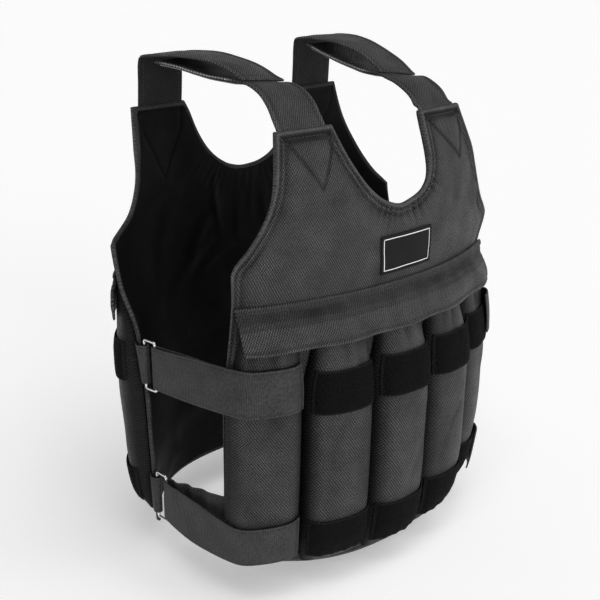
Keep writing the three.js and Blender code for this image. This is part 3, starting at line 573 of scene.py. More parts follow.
def outline_lines(panel):
    """The panel's outline as two lines in x and z: hem with sides and armholes, and neckline."""
    v = np.linspace(0, 1, 160)
    u = np.linspace(0, 1, 120)
    left = np.stack(side_edge(panel, -1, v), -1)
    right = np.stack(side_edge(panel, 1, v), -1)
    hem = np.stack(hem_edge(panel, u), -1)
    tab = TAB_COLUMNS / PANEL_COLUMNS
    neck = np.stack(top_edge(panel, np.linspace(tab, 1 - tab, 140)), -1)
    sides = np.concatenate([left[::-1], hem[1:-1], right])
    return sides, neck


def in_space(panel, line):
    return panel_point(panel, line[:, 0], line[:, 1], 0.0)


def fold_height(folds, x, z):
    total = np.zeros(np.broadcast(x, z).shape)
    for fold in folds:
        angle = math.radians(fold.turn)
        run = (x - fold.x) * math.sin(angle) + (z - fold.z) * math.cos(angle)
        side = (x - fold.x) * math.cos(angle) - (z - fold.z) * math.sin(angle)
        bow = side - 0.12 * run**2 / fold.length
        total += fold.height * np.exp(-((run / fold.length) ** 2) - (bow / fold.width) ** 2)
    return total


def gathers(panel, edge, place, length):
    """Small folds that the neckline's binding draws into the cloth, where it is cut round."""
    share = place / length
    window = smoothstep(share, panel.gather_from, panel.gather_from + 0.15)
    window = window * (1 - smoothstep(share, panel.gather_to - 0.15, panel.gather_to))
    wave = np.sin(2 * math.pi * place / 7.5 + 1.4 * np.sin(place / 9.0)) * (0.6 + 0.4 * np.sin(place / 5.3))
    return window * wave * np.exp(-((np.maximum(edge - 7, 0) / 15) ** 2)) * smoothstep(edge, 3, 8)


def binding_relief(edge):
    """The rolled binding, the channel beside it, the topstitched strip and the padding inside it."""
    rolled = 0.8 * hump(edge, 2.8, 2.0) - 0.9 * hump(edge, 6.0, 1.4)
    strip = 0.35 * hump(edge, 8.5, 2.0) - 0.75 * hump(edge, 11.5, 1.8)
    return rolled + strip + 1.1 * smoothstep(edge, 11, 30)


def binding_light_and_shade(edge):
    """Painted highlight on the rolled binding, painted shade in its two stitched channels and just inside
    them.
    """
    rolled = 0.6 * hump(edge, 2.6, 1.7) - 0.85 * hump(edge, 5.9, 1.5)
    return rolled + 0.3 * hump(edge, 8.7, 1.3) - 0.7 * hump(edge, 11.6, 1.8) - 0.2 * hump(edge, 15, 4)


def seam_press(panel, x, z):
    """1 along the box and V seams that hold the straps in the tabs, falling to 0 beside them."""
    places = np.stack(np.broadcast_arrays(x, z), -1)
    return sum(hump(line_distance(places, np.array(line, float))[0], 0, 1.6) for line in panel.seams)


def panel_shading_and_mottle(panel, x, z, edge, neck, place, length):
    # Painted highlight and shade of the binding, painted shade along the seams, painted highlight on the
    # gathers' crests and painted shade in their hollows, and a little random unevenness of the cloth's own
    # colour.
    tone = (
        1 + binding_light_and_shade(edge) * (1 + 0.35 * soft_noise(place, edge, 6, 31)) - 0.9 * seam_press(panel, x, z)
    )
    return np.clip(
        tone + 0.5 * gathers(panel, neck, place, length) + 0.12 * soft_noise(x, z, 26, 8), 0.12, 2
    )


def panel_skin(panel, x, z, edge, neck, place, length):
    """How far a panel's outer face stands out over its flat form."""
    raised = binding_relief(edge) + 2.0 * gathers(panel, neck, place, length)
    raised = raised - 1.5 * seam_press(panel, x, z) * smoothstep(edge, 2, 6)
    calm = smoothstep(edge, 4, 16)
    raised = raised + calm * fold_height(panel.folds, x, z)
    return raised + 0.35 * calm * soft_noise(x, z, 34, 3)


# Meshes


def to_row(points):
    """Millimetres from the base line to metres from the seat."""
    return (np.asarray(points, float).reshape(-1, 3) - (0, 0, SEAT_HEIGHT)) / 1000


def outward(points, faces):
    a, b, c = points[faces[:, 0]], points[faces[:, 1]], points[faces[:, 2]]
    volume = (a * np.cross(b, c)).sum()
    if faces.shape[1] == 4:
        d = points[faces[:, 3]]
        volume += (a * np.cross(c, d)).sum()
    return faces if volume > 0 else faces[:, ::-1]


def make_piece(name, points, faces, materials, uv=None, finish=None, tone=None):
    """A smooth mesh piece from points in millimetres.

    uv is in metres for each point, finish a material for each face, and tone how light each point is: below 1
    as painted shade in seams and creases, and above 1 as painted highlight on ridges.
    """
    points = to_row(points)
    faces = (
        [outward(points, part) for part in faces] if isinstance(faces, list) else [outward(points, faces)]
    )
    mesh = bpy.data.meshes.new(name)
    mesh.from_pydata(points.tolist(), [], [face for part in faces for face in part.tolist()])
    for material in materials:
        mesh.materials.append(material)
    mesh.polygons.foreach_set("use_smooth", np.ones(len(mesh.polygons), bool))
    if finish is not None:
        mesh.polygons.foreach_set("material_index", np.asarray(finish, np.int32))
    if uv is not None:
        corners = np.empty(len(mesh.loops), np.int32)
        mesh.loops.foreach_get("vertex_index", corners)
        for layer, values in uv.items():
            data = mesh.uv_layers.new(name=layer)
            data.data.foreach_set("uv", np.asarray(values, np.float32)[corners].ravel())
    painted_shading = mesh.attributes.new("tone", "FLOAT", "POINT")
    painted_shading.data.foreach_set(
        "value", np.ones(len(points)) if tone is None else np.asarray(tone, np.float32).ravel()
    )
    mesh.validate()
    mesh.update()
    piece = bpy.data.objects.new(name, mesh)
    bpy.context.scene.collection.objects.link(piece)
    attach(piece, "root")
    return piece


def shell(face, back):
    """Points and faces of a closed skin from a face grid and a back grid that meet along their rim."""
    columns, rows = face.shape[:2]
    front = np.arange(columns * rows).reshape(columns, rows)
    behind = front.copy()
    behind[1:-1, 1:-1] = columns * rows + np.arange((columns - 2) * (rows - 2)).reshape(columns - 2, rows - 2)
    points = np.concatenate([face.reshape(-1, 3), back[1:-1, 1:-1].reshape(-1, 3)])

    def quads(grid):
        return np.stack([grid[:-1, :-1], grid[1:, :-1], grid[1:, 1:], grid[:-1, 1:]], -1).reshape(-1, 4)

    return points, np.concatenate([quads(front), quads(behind)[:, ::-1]])


def shell_values(face, back):
    """Values for the points of a shell, from a grid for its face and one for its back."""
    width = face.shape[-1]
    return np.concatenate([face.reshape(-1, width), back[1:-1, 1:-1].reshape(-1, width)])


def crown(edge, bevel):
    """Share of the half thickness at a distance from the rim, so that the rim is round."""
    return np.sqrt(np.clip(1 - (1 - np.clip(edge / bevel, 0, 1)) ** 2, 0, 1))


def cut_edge(u, v):
    return np.minimum(np.minimum(u - u.min(), u.max() - u), np.minimum(v - v.min(), v.max() - v))


def cut_piece(name, us, vs, place, thickness, material, relief=None, centre=0.0, tone=None, inner=None):
    """A piece cut flat: us and vs are distances across and up it, place gives its points at a lift."""
    u, v = np.meshgrid(us, vs, indexing="ij")
    edge = cut_edge(u, v)
    round_off = crown(edge, thickness / 2) * thickness / 2
    raised = relief(u, v, edge) if relief else 0.0
    face = place(u, v, centre + round_off + raised * smoothstep(edge, 0, 1.5))
    back = place(u, v, centre - round_off)
    points, faces = shell(face, back)
    flat = np.stack([u, v], -1) / 1000
    rim = np.stack([edge, edge], -1) / 1000
    uv = {"cloth": shell_values(flat, flat), "edge": shell_values(rim, rim)}
    painted_shading = tone(u, v, edge) if tone else np.ones(u.shape)
    painted_shading = shell_values(painted_shading[..., None], np.ones(u.shape + (1,)))
    finish = np.repeat([0, 1 if inner else 0], len(faces) // 2)
    return make_piece(name, points, faces, [material, inner] if inner else [material], uv, finish, painted_shading)


# Stitches

Stitch = namedtuple("Stitch", "place ahead out")
STITCH_SIDES = 6
STITCH_RINGS = ((-0.5, 0.25), (-0.36, 0.9), (0.0, 1.05), (0.36, 0.9), (0.5, 0.25))


def stitch_row(points, outs, length, gap):
    """Stitches set at an even pitch along a line of points on the cloth."""
    run = run_lengths(points)
    if run[-1] < length:
        return []
    places = np.arange(length / 2, run[-1] - length / 2, length + gap)
    middle = np.stack([np.interp(places, run, points[:, k]) for k in range(3)], -1)
    start = np.stack([np.interp(places - length / 2, run, points[:, k]) for k in range(3)], -1)
    end = np.stack([np.interp(places + length / 2, run, points[:, k]) for k in range(3)], -1)
    out = unit(np.stack([np.interp(places, run, outs[:, k]) for k in range(3)], -1))
    ahead = unit(end - start)
    out = unit(out - ahead * (out * ahead).sum(-1, keepdims=True))
    return [Stitch(*row) for row in zip(middle, ahead, out)]


def sew(name, stitches, length, thread, material):
    """One piece that holds all the stitches: short plump threads, half sunk in the cloth."""
    place = np.array([stitch.place for stitch in stitches])
    ahead = np.array([stitch.ahead for stitch in stitches])
    out = np.array([stitch.out for stitch in stitches])
    side = np.cross(ahead, out)
    points = []
    for share, size in STITCH_RINGS:
        for k in range(STITCH_SIDES):
            angle = 2 * math.pi * k / STITCH_SIDES
            sink = thread * (0.25 - 0.9 * abs(share))
            offset = side * math.cos(angle) * size * thread / 2
            offset = offset + out * (math.sin(angle) * size * thread / 2 + sink)
            points.append(place + ahead * share * length + offset)
    per = len(STITCH_RINGS) * STITCH_SIDES
    points = np.stack(points, 1).reshape(-1, 3)
    quads, ends = [], []
    for ring in range(len(STITCH_RINGS) - 1):
        for k in range(STITCH_SIDES):
            a = ring * STITCH_SIDES + k
            b = ring * STITCH_SIDES + (k + 1) % STITCH_SIDES
            quads.append([a, b, b + STITCH_SIDES, a + STITCH_SIDES])
    low = per - STITCH_SIDES
    for k in range(1, STITCH_SIDES - 1):
        ends.append([0, k + 1, k])
        ends.append([low, low + k, low + k + 1])
    shift = np.arange(len(stitches))[:, None, None] * per
    quads = (np.array(quads)[None] + shift).reshape(-1, 4)
    ends = (np.array(ends)[None] + shift).reshape(-1, 3)
    rows = to_row(points)
    mesh = bpy.data.meshes.new(name)
    a, b, c = (rows[quads[0, k]] for k in (0, 1, 2))
    middle = to_row(place[:1])[0]
    if np.dot(np.cross(b - a, c - a), a - middle) < 0:
        quads, ends = quads[:, ::-1], ends[:, ::-1]
    mesh.from_pydata(rows.tolist(), [], quads.tolist() + ends.tolist())
    mesh.materials.append(material)
    mesh.polygons.foreach_set("use_smooth", np.ones(len(mesh.polygons), bool))
    mesh.update()
    piece = bpy.data.objects.new(name, mesh)
    bpy.context.scene.collection.objects.link(piece)
    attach(piece, "root")
    return piece


# Materials


def linear(colour):
    """Linear colour from an sRGB hex value or three sRGB shares."""
    if isinstance(colour, str):
        colour = [int(colour[k : k + 2], 16) / 255 for k in (1, 3, 5)]
    shares = [c / 12.92 if c <= 0.04045 else ((c + 0.055) / 1.055) ** 2.4 for c in colour]
    return (*shares, 1.0)


def add(tree, kind, inputs=None, **settings):
    """Adds a node with its settings, and gives each named input a value or a link."""
    node = tree.nodes.new(kind)
    for name, value in settings.items():
        setattr(node, name, value)
    for name, value in (inputs or {}).items():
        socket = node.inputs[name]
        if isinstance(value, bpy.types.NodeSocket):
            tree.links.new(value, socket)
        else:
            socket.default_value = value
    return node


def remap(tree, value, low, high, to_low, to_high):
    """A value whose range from low to high is stretched to another range."""
    return add(tree, "ShaderNodeMapRange", {"Value": value, 1: low, 2: high, 3: to_low, 4: to_high})


def times(tree, one, other):
    return add(tree, "ShaderNodeMath", {0: one, 1: other}, operation="MULTIPLY")


def shaded(tree, colour, tone):
    """A colour made lighter or darker by a tone, where 1 leaves it as it is."""
    return add(tree, "ShaderNodeVectorMath", {0: linear(colour)[:3], "Scale": tone}, operation="SCALE")


def new_material(name, colour, roughness, **inputs):
    """An empty material with its shader, ready for its pattern nodes."""
    material = bpy.data.materials.new(name)
    material.use_nodes = True
    tree = material.node_tree
    tree.nodes.clear()
    shader = add(tree, "ShaderNodeBsdfPrincipled", {"Base Color": colour, "Roughness": roughness, **inputs})
    add(tree, "ShaderNodeOutputMaterial", {"Surface": shader.outputs[0]})
    return material, tree, shader


def wave_scale(pitch_mm):
    """Scale of a banded wave texture whose bands are this far apart, on coordinates in metres."""
    return 2 * math.pi / (20 * pitch_mm / 1000)


def woven_cloth(name, colour, pitch, roughness, lean, depth, contrast):
    """Nylon Oxford cloth, basket-woven from flat yarns and coated on the back.

    Its real yarns are under 1 mm apart and show in the photograph as slanting ribs that cross in diamonds, so
    they are drawn at the pitch of those ribs. The yarns give it a dry look with a faint, broad shine.
    """
    material, tree, shader = new_material(name, linear(colour), roughness, **{"Specular IOR Level": 0.22})
    place = add(tree, "ShaderNodeUVMap", uv_map="cloth").outputs[0]
    ribs = []
    for turn, share in ((lean, 1.0), (-lean * 0.8, 1.12)):
        turned = add(tree, "ShaderNodeMapping", {"Vector": place, "Rotation": (0, 0, math.radians(turn))})
        wave = add(
            tree,
            "ShaderNodeTexWave",
            {
                "Vector": turned.outputs[0],
                "Scale": wave_scale(pitch * share),
                "Distortion": 0.6,
                "Detail": 1.0,
                "Detail Scale": 0.6,
            },
            wave_type="BANDS",
            bands_direction="X",
        )
        ribs.append(wave.outputs["Fac"])
    crossed = add(tree, "ShaderNodeMath", {0: ribs[0], 1: ribs[1]}, operation="ADD").outputs[0]
    blotch = add(
        tree, "ShaderNodeTexNoise", {"Vector": place, "Scale": 34.0, "Detail": 3.0, "Roughness": 0.6}
    )
    slub = add(tree, "ShaderNodeTexNoise", {"Vector": place, "Scale": 700.0, "Detail": 2.0})
    weave = remap(tree, crossed, 0.2, 1.8, 1 - contrast, 1 + contrast)
    uneven = remap(tree, blotch.outputs[0], 0.3, 0.7, 0.76, 1.24)
    speckle = remap(tree, slub.outputs[0], 0.3, 0.7, 0.45, 1.55)
    # Painted highlight and shade from each piece's tone attribute: light on ridges, dark in seams, creases,
    # channels and gaps.
    painted_shading = add(tree, "ShaderNodeAttribute", attribute_name="tone").outputs["Fac"]
    tone = times(tree, weave.outputs[0], uneven.outputs[0])
    tone = times(tree, tone.outputs[0], speckle.outputs[0])
    tone = times(tree, tone.outputs[0], painted_shading)
    rough = remap(tree, tone.outputs[0], 0.2, 1.6, 0.72, roughness - 0.08)
    tree.links.new(rough.outputs[0], shader.inputs["Roughness"])
    shade = shaded(tree, colour, tone.outputs[0])
    tree.links.new(shade.outputs[0], shader.inputs["Base Color"])
    bump = add(tree, "ShaderNodeBump", {"Height": crossed, "Strength": 0.6, "Distance": depth / 1000})
    tree.links.new(bump.outputs[0], shader.inputs["Normal"])
    return material


def lining_cloth(name, colour):
    """Nylon taffeta lining, plain-woven from fine smooth yarns: darker than the shell, with broad glints."""
    material, tree, shader = new_material(name, linear(colour), 0.5, **{"Specular IOR Level": 0.09})
    place = add(tree, "ShaderNodeUVMap", uv_map="cloth").outputs[0]
    crush = add(
        tree, "ShaderNodeTexNoise", {"Vector": place, "Scale": 22.0, "Detail": 4.0, "Distortion": 0.8}
    )
    fine = add(tree, "ShaderNodeTexNoise", {"Vector": place, "Scale": 900.0, "Detail": 1.0})
    height = add(
        tree, "ShaderNodeMath", {0: fine.outputs[0], 1: 0.06, 2: crush.outputs[0]}, operation="MULTIPLY_ADD"
    )
    bump = add(tree, "ShaderNodeBump", {"Height": height.outputs[0], "Strength": 0.5, "Distance": 0.003})
    tree.links.new(bump.outputs[0], shader.inputs["Normal"])
    rough = remap(tree, crush.outputs[0], 0.3, 0.7, 0.42, 0.62)
    tree.links.new(rough.outputs[0], shader.inputs["Roughness"])
    return material


def loop_pile(name, colour):
    """Loop tape: knitted nylon with a brushed pile of loops, so it drinks light and shows a fuzzy grain."""
    material, tree, shader = new_material(
        name, linear(colour), 0.95, **{"Specular IOR Level": 0.08}
    )
    place = add(tree, "ShaderNodeUVMap", uv_map="cloth").outputs[0]
    tufts = add(
        tree, "ShaderNodeTexNoise", {"Vector": place, "Scale": 520.0, "Detail": 5.0, "Roughness": 0.7}
    )
    clumps = add(tree, "ShaderNodeTexVoronoi", {"Vector": place, "Scale": 620.0, "Randomness": 1.0})
    height = add(tree, "ShaderNodeMath", {0: tufts.outputs[0], 1: clumps.outputs[0]}, operation="SUBTRACT")
    bump = add(tree, "ShaderNodeBump", {"Height": height.outputs[0], "Strength": 1.0, "Distance": 0.0012})
    tree.links.new(bump.outputs[0], shader.inputs["Normal"])
    rim = add(tree, "ShaderNodeUVMap", uv_map="edge").outputs[0]
    inward = add(tree, "ShaderNodeSeparateXYZ", {"Vector": rim})
    woven = remap(tree, inward.outputs[0], 0.0012, 0.0026, 2.6, 1.0)
    grain = remap(tree, tufts.outputs[0], 0.32, 0.68, 0.3, 1.9)
    tone = times(tree, grain.outputs[0], woven.outputs[0])
    shade = shaded(tree, colour, tone.outputs[0])
    tree.links.new(shade.outputs[0], shader.inputs["Base Color"])
    return material


def ribbed_webbing(name, colour, pitch):
    """Nylon webbing, woven flat with cords across it: fine upright ribs, a dull shine and a painted highlight
    along its edges.
    """
    material, tree, shader = new_material(
        name, linear(colour), 0.56, **{"Specular IOR Level": 0.25}
    )
    place = add(tree, "ShaderNodeUVMap", uv_map="cloth").outputs[0]
    wave = add(
        tree,
        "ShaderNodeTexWave",
        {"Vector": place, "Scale": wave_scale(pitch), "Distortion": 0.5, "Detail": 1.0},
        wave_type="BANDS",
        bands_direction="X",
    )
    cross = add(
        tree,
        "ShaderNodeTexWave",
        {"Vector": place, "Scale": wave_scale(pitch * 0.8), "Distortion": 0.8, "Detail": 1.0},
        wave_type="BANDS",
        bands_direction="Y",
    )
    slub = add(tree, "ShaderNodeTexNoise", {"Vector": place, "Scale": 320.0, "Detail": 3.0})
    woven = add(
        tree, "ShaderNodeMath", {0: cross.outputs["Fac"], 1: 0.35, 2: wave.outputs["Fac"]},
        operation="MULTIPLY_ADD"
    )
    bump = add(tree, "ShaderNodeBump", {"Height": woven.outputs[0], "Strength": 0.8, "Distance": 0.0005})
    tree.links.new(bump.outputs[0], shader.inputs["Normal"])
    rib = remap(tree, woven.outputs[0], 0.0, 1.35, 0.84, 1.16)
    speckle = remap(tree, slub.outputs[0], 0.3, 0.7, 0.55, 1.45)
    # Painted highlight and shade from the band's tone attribute
    painted_shading = add(tree, "ShaderNodeAttribute", attribute_name="tone").outputs["Fac"]
    tone = times(tree, rib.outputs[0], speckle.outputs[0])
    tone = times(tree, tone.outputs[0], painted_shading)
    shade = shaded(tree, colour, tone.outputs[0])
    tree.links.new(shade.outputs[0], shader.inputs["Base Color"])
    return material


def hook_tape_finish(name, colour):
    """Hook tape: woven nylon with rows of cut monofilament hooks, which glint like fine wire."""
    material, tree, shader = new_material(name, linear(colour), 0.35, **{"Specular IOR Level": 0.6})
    place = add(tree, "ShaderNodeUVMap", uv_map="cloth").outputs[0]
    hooks = add(tree, "ShaderNodeTexVoronoi", {"Vector": place, "Scale": 800.0, "Randomness": 0.25})
    bump = add(tree, "ShaderNodeBump", {"Height": hooks.outputs[0], "Strength": 1.0, "Distance": 0.0008})
    tree.links.new(bump.outputs[0], shader.inputs["Normal"])
    tone = remap(tree, hooks.outputs[0], 0.0, 0.7, 1.5, 0.6)
    # Painted highlight along the tape's edges: its outer millimetre is up to six times lighter.
    rim = add(tree, "ShaderNodeUVMap", uv_map="edge").outputs[0]
    inward = add(tree, "ShaderNodeSeparateXYZ", {"Vector": rim})
    woven = remap(tree, inward.outputs[0], 0.0009, 0.0014, 6.0, 1.0)
    tone = times(tree, tone.outputs[0], woven.outputs[0])
    shade = shaded(tree, colour, tone.outputs[0])
    tree.links.new(shade.outputs[0], shader.inputs["Base Color"])
    return material


def nickelled_steel(name, colour):
    """Bent steel wire, nickel-plated and bright, with a few faint handling marks."""
    material, tree, shader = new_material(name, linear(colour), 0.2, Metallic=1.0)
    place = add(tree, "ShaderNodeTexCoord").outputs["Object"]
    marks = add(tree, "ShaderNodeTexNoise", {"Vector": place, "Scale": 400.0, "Detail": 4.0})
    rough = remap(tree, marks.outputs[0], 0.3, 0.7, 0.12, 0.32)
    tree.links.new(rough.outputs[0], shader.inputs["Roughness"])
    bump = add(tree, "ShaderNodeBump", {"Height": marks.outputs[0], "Strength": 0.15, "Distance": 0.0004})
    tree.links.new(bump.outputs[0], shader.inputs["Normal"])
    return material


def woven_patch(name, ground, border):
    """Damask-woven polyester patch: satin ground with fine cross threads and a narrow pale woven frame."""
    material, tree, shader = new_material(name, linear(ground), 0.6, **{"Specular IOR Level": 0.15})
    place = add(tree, "ShaderNodeUVMap", uv_map="cloth").outputs[0]
    rim = add(tree, "ShaderNodeUVMap", uv_map="edge").outputs[0]
    inward = add(tree, "ShaderNodeSeparateXYZ", {"Vector": rim}).outputs[0]
    outer = add(tree, "ShaderNodeMath", {0: inward, 1: 0.0036}, operation="GREATER_THAN")
    inner = add(tree, "ShaderNodeMath", {0: inward, 1: 0.0045}, operation="LESS_THAN")
    frame_line = times(tree, outer.outputs[0], inner.outputs[0])
    threads = add(
        tree,
        "ShaderNodeTexWave",
        {"Vector": place, "Scale": wave_scale(1.4), "Distortion": 0.4},
        wave_type="BANDS",
        bands_direction="Y",
    )
    shade = add(
        tree,
        "ShaderNodeMix",
        {"Factor": frame_line.outputs[0], 6: linear(ground), 7: linear(border)},
        data_type="RGBA",
    )
    tree.links.new(shade.outputs[2], shader.inputs["Base Color"])
    bump = add(
        tree, "ShaderNodeBump", {"Height": threads.outputs["Fac"], "Strength": 0.5, "Distance": 0.0004}
    )
    tree.links.new(bump.outputs[0], shader.inputs["Normal"])
    return material


def spun_thread(name, colour):
    """Bonded nylon sewing thread: twisted, with a low waxy shine."""
    material, tree, shader = new_material(name, linear(colour), 0.5, **{"Sheen Weight": 0.1})
    place = add(tree, "ShaderNodeTexCoord").outputs["Object"]
    twist = add(tree, "ShaderNodeTexNoise", {"Vector": place, "Scale": 1500.0, "Detail": 2.0})
    bump = add(tree, "ShaderNodeBump", {"Height": twist.outputs[0], "Strength": 0.5, "Distance": 0.0003})
    tree.links.new(bump.outputs[0], shader.inputs["Normal"])
    return material


def studio_floor(name, colour):
    """Matt acrylic sheet lit from beneath: pale and even, so only the soft shadow shows on it."""
    glow = {"Emission Color": linear(colour), "Emission Strength": 0.33}
    material, tree, shader = new_material(name, linear(colour), 0.9, **{"Specular IOR Level": 0.1}, **glow)
    place = add(tree, "ShaderNodeTexCoord").outputs["Object"]
    grain = add(tree, "ShaderNodeTexNoise", {"Vector": place, "Scale": 2.0, "Detail": 2.0})
    rough = remap(tree, grain.outputs[0], 0.0, 1.0, 0.88, 0.96)
    tree.links.new(rough.outputs[0], shader.inputs["Roughness"])
    return material


def hex_of(colour):
    return tuple(int(colour[k : k + 2], 16) / 255 for k in (1, 3, 5))


def shade_setting(name, description, colour):
    return bpy.props.FloatVectorProperty(
        name=name, description=description, size=3, min=0.0, max=1.0, default=hex_of(colour),
        subtype="COLOR_GAMMA"
    )


def size_setting(name, description, metres):
    return bpy.props.FloatProperty(
        name=name, description=description, default=metres, min=0.0, unit="LENGTH"
    )


class VestColours(bpy.types.PropertyGroup):
    shell: shade_setting("Shell cloth", "Oxford cloth of the panels, flaps and shoulder straps", "#363636")
    pocket: shade_setting("Pocket cloth", "Oxford cloth of the pockets", "#333333")
    underside: shade_setting("Strap underside", "Cloth of the shoulder straps' undersides", "#181818")
    lining: shade_setting("Lining", "Taffeta inside the panels", "#070707")
    pile: shade_setting("Loop tape", "Pile tapes on the pockets", "#0c0c0c")
    webbing: shade_setting("Webbing", "Side straps and ring tabs", "#2f2f2f")
    hooks: shade_setting("Hook tape", "Hook tape between the shoulder strap layers", "#3a3a3a")
    steel: shade_setting("Rings", "Nickelled wire rings", "#d9d8d4")
    patch: shade_setting("Patch ground", "Ground of the woven patch", "#101010")
    frame_line: shade_setting("Patch frame", "Pale frame of the woven patch", "#e4e4e4")
    thread: shade_setting("Thread", "Sewing thread", "#1c1c1c")
    floor: shade_setting("Floor", "Studio floor", "#eeeeee")


class VestSizes(bpy.types.PropertyGroup):
    weave: size_setting("Weave pitch", "Distance between the ribs of the cloth as drawn", 0.0021)
    rib: size_setting("Webbing rib", "Distance between the cords of the webbing as drawn", 0.0024)
    stitch: size_setting("Stitch length", "Length of one stitch", 0.0034)
    stitch_gap: size_setting("Stitch gap", "Distance between two stitches", 0.0012)
    thread: size_setting("Thread", "Thickness of the sewing thread", 0.0009)
    pocket_wave: size_setting(
        "Pocket unevenness", "How far the packs press the pocket cloth out unevenly", 0.0012
    )
    lens: bpy.props.FloatProperty(
        name="Lens", description="Focal length of the camera", default=66.0, min=10.0, unit="CAMERA"
    )


def settings():
    scene = bpy.context.scene
    return scene.vest_sizes, scene.vest_colours


def finish_named(kind):
    """The material of one kind, made once from the colours in the settings."""
    if kind in bpy.data.materials:
        return bpy.data.materials[kind]
    sizes, colours = settings()
    pitch = sizes.weave * 1000
    makers = {
        "Panel nylon Oxford": lambda name: woven_cloth(name, colours.shell, pitch, 0.46, 38, 0.8, 1.0),
        "Pocket nylon Oxford": lambda name: woven_cloth(name, colours.pocket, pitch, 0.46, 38, 0.7, 0.95),
        "Binding nylon Oxford": lambda name: woven_cloth(name, colours.shell, pitch, 0.48, 52, 0.5, 0.35),
        "Lining taffeta": lambda name: lining_cloth(name, colours.lining),
        "Loop pile nylon": lambda name: loop_pile(name, colours.pile),
        "Woven nylon webbing": lambda name: ribbed_webbing(name, colours.webbing, sizes.rib * 1000),
        "Strap underside nylon": lambda name: woven_cloth(
            name, colours.underside, pitch, 0.5, 38, 0.6, 0.8
        ),
        "Hook tape nylon": lambda name: hook_tape_finish(name, colours.hooks),
        "Nickelled steel wire": lambda name: nickelled_steel(name, colours.steel),
        "Damask polyester patch": lambda name: woven_patch(name, colours.patch, colours.frame_line),
        "Bonded nylon thread": lambda name: spun_thread(name, colours.thread),
        "Studio acrylic": lambda name: studio_floor(name, colours.floor),
    }
    return makers[kind](kind)


# Pieces


def panel_grid(panel):
    """The panel's fine grid: its places, and how far each is from the outline and the neckline."""
    width = 2 * panel.half_width * 0.9
    height = PANEL_HEIGHT - 30
    tab = TAB_COLUMNS / PANEL_COLUMNS * width
    us = spread(width, (1.5, 2.8, 1.5), (tab, width - tab)) / width
    arm = SIDE_ROWS / PANEL_ROWS * height
    vs = spread(height, (7.0, 3.0, 1.7), (arm * 0.86, arm)) / height
    u, v = us[:, None], vs[None, :]
    x, z = outline_place(panel, u, v)
    sides, neck = outline_lines(panel)
    flat = panel_point(panel, x, z, 0.0)
    side_gap, _ = line_distance(flat, in_space(panel, sides))
    neck_gap, place = line_distance(flat, in_space(panel, neck))
    top_gap = np.where(np.abs(x) > panel.tab_inner - 20, PANEL_HEIGHT - z, 1e3)
    edge = np.minimum(np.minimum(side_gap, neck_gap), np.maximum(top_gap, 0))
    edge[0, :] = edge[-1, :] = edge[:, 0] = edge[:, -1] = 0
    return x, z, edge, neck_gap, place, run_lengths(in_space(panel, neck))[-1]


def build_panel(panel):
    x, z, edge, neck, place, length = panel_grid(panel)
    thick = thickness_at(z) / 2 * crown(edge, 2.6)
    skin = panel_skin(panel, x, z, edge, neck, place, length)
    calm = smoothstep(edge, 1.0, 6.0)
    seam = seam_press(panel, x, z)
    lining = fold_height(panel.lining_folds, x, z) + 0.6 * gathers(panel, neck / 1.8, place, length)
    lining = (
        lining + 0.8 * soft_noise(x, z, 60, 11) + 0.5 * hump(edge, 2.6, 1.8) - 0.5 * hump(edge, 5.5, 1.4)
    )
    lining = lining - 1.2 * seam
    face = panel_point(panel, x, z, thick + skin * smoothstep(edge, 0, 1.8))
    back = panel_point(panel, x, z, -thick - lining * calm)
    points, faces = shell(face, back)
    around = np.sign(x) * np.interp(np.abs(x).ravel(), *girth_table(panel)).reshape(x.shape)
    flat = np.stack([around, z], -1) / 1000
    rim = np.stack([edge, edge], -1) / 1000
    uv = {"cloth": shell_values(flat, flat), "edge": shell_values(rim, rim)}
    bound = (edge[:-1, :-1] + edge[1:, 1:]).reshape(-1) / 2 < BINDING_WIDTH
    finish = np.concatenate([np.where(bound, 1, 0), np.where(bound, 1, 2)])
    names = ("Panel nylon Oxford", "Binding nylon Oxford", "Lining taffeta")
    tone = panel_shading_and_mottle(panel, x, z, edge, neck, place, length)[..., None]
    # Only the binding on the inner face reads this: it is painted darker, as shade inside the panel, with
    # weaker painted highlight and shade of its own and painted shade along the seams.
    tone = shell_values(tone, (0.55 + 0.3 * binding_light_and_shade(edge) - 0.3 * seam)[..., None])
    finishes = [finish_named(n) for n in names]
    piece = make_piece(f"{panel.name}_panel_shell", points, faces, finishes, uv, finish, tone)
    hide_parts(f"{panel.name}_panel")
    return piece


def girth_table(panel):
    """x and the distance round the panel to it, at mid height."""
    z = np.array([PANEL_HEIGHT * 0.7])
    return half_width_at(panel, z) * np.linspace(0, 1, WALK_STEPS + 1), plan_lengths(panel, z)[0]


def offset_line(panel, line, distance):
    """A line of x and z moved into the panel, so that its points lie a distance from the outline."""
    step = np.gradient(line, axis=0)
    inward = unit(np.stack([-step[:, 1], step[:, 0]], -1))
    middle = np.array([0.0, 200.0])
    if ((middle - line) * inward).sum() < 0:
        inward = -inward
    reach = np.full(len(line), float(distance))
    home = in_space(panel, line)
    for _ in range(3):
        moved = line + inward * reach[:, None]
        gap = np.linalg.norm(in_space(panel, moved) - home, axis=1)
        reach = reach * distance / np.maximum(gap, 0.1)
    moved = line + inward * reach[:, None]
    nearest = line_distance(in_space(panel, moved), home)[0]
    return moved[nearest > 0.9 * distance]


def skin_line(panel, line):
    """A line of x and z as points on the panel's outer face, with the directions out of it."""
    sides, neck = outline_lines(panel)
    flat = in_space(panel, line)
    neck_gap, place = line_distance(flat, in_space(panel, neck))
    edge = np.minimum(line_distance(flat, in_space(panel, sides))[0], neck_gap)
    x, z = line[:, 0], line[:, 1]
    length = run_lengths(in_space(panel, neck))[-1]
    lift = thickness_at(z) / 2 * crown(edge, 2.6) + panel_skin(panel, x, z, edge, neck_gap, place, length)
    return panel_point(panel, x, z, lift), panel_normal(panel, x, z)


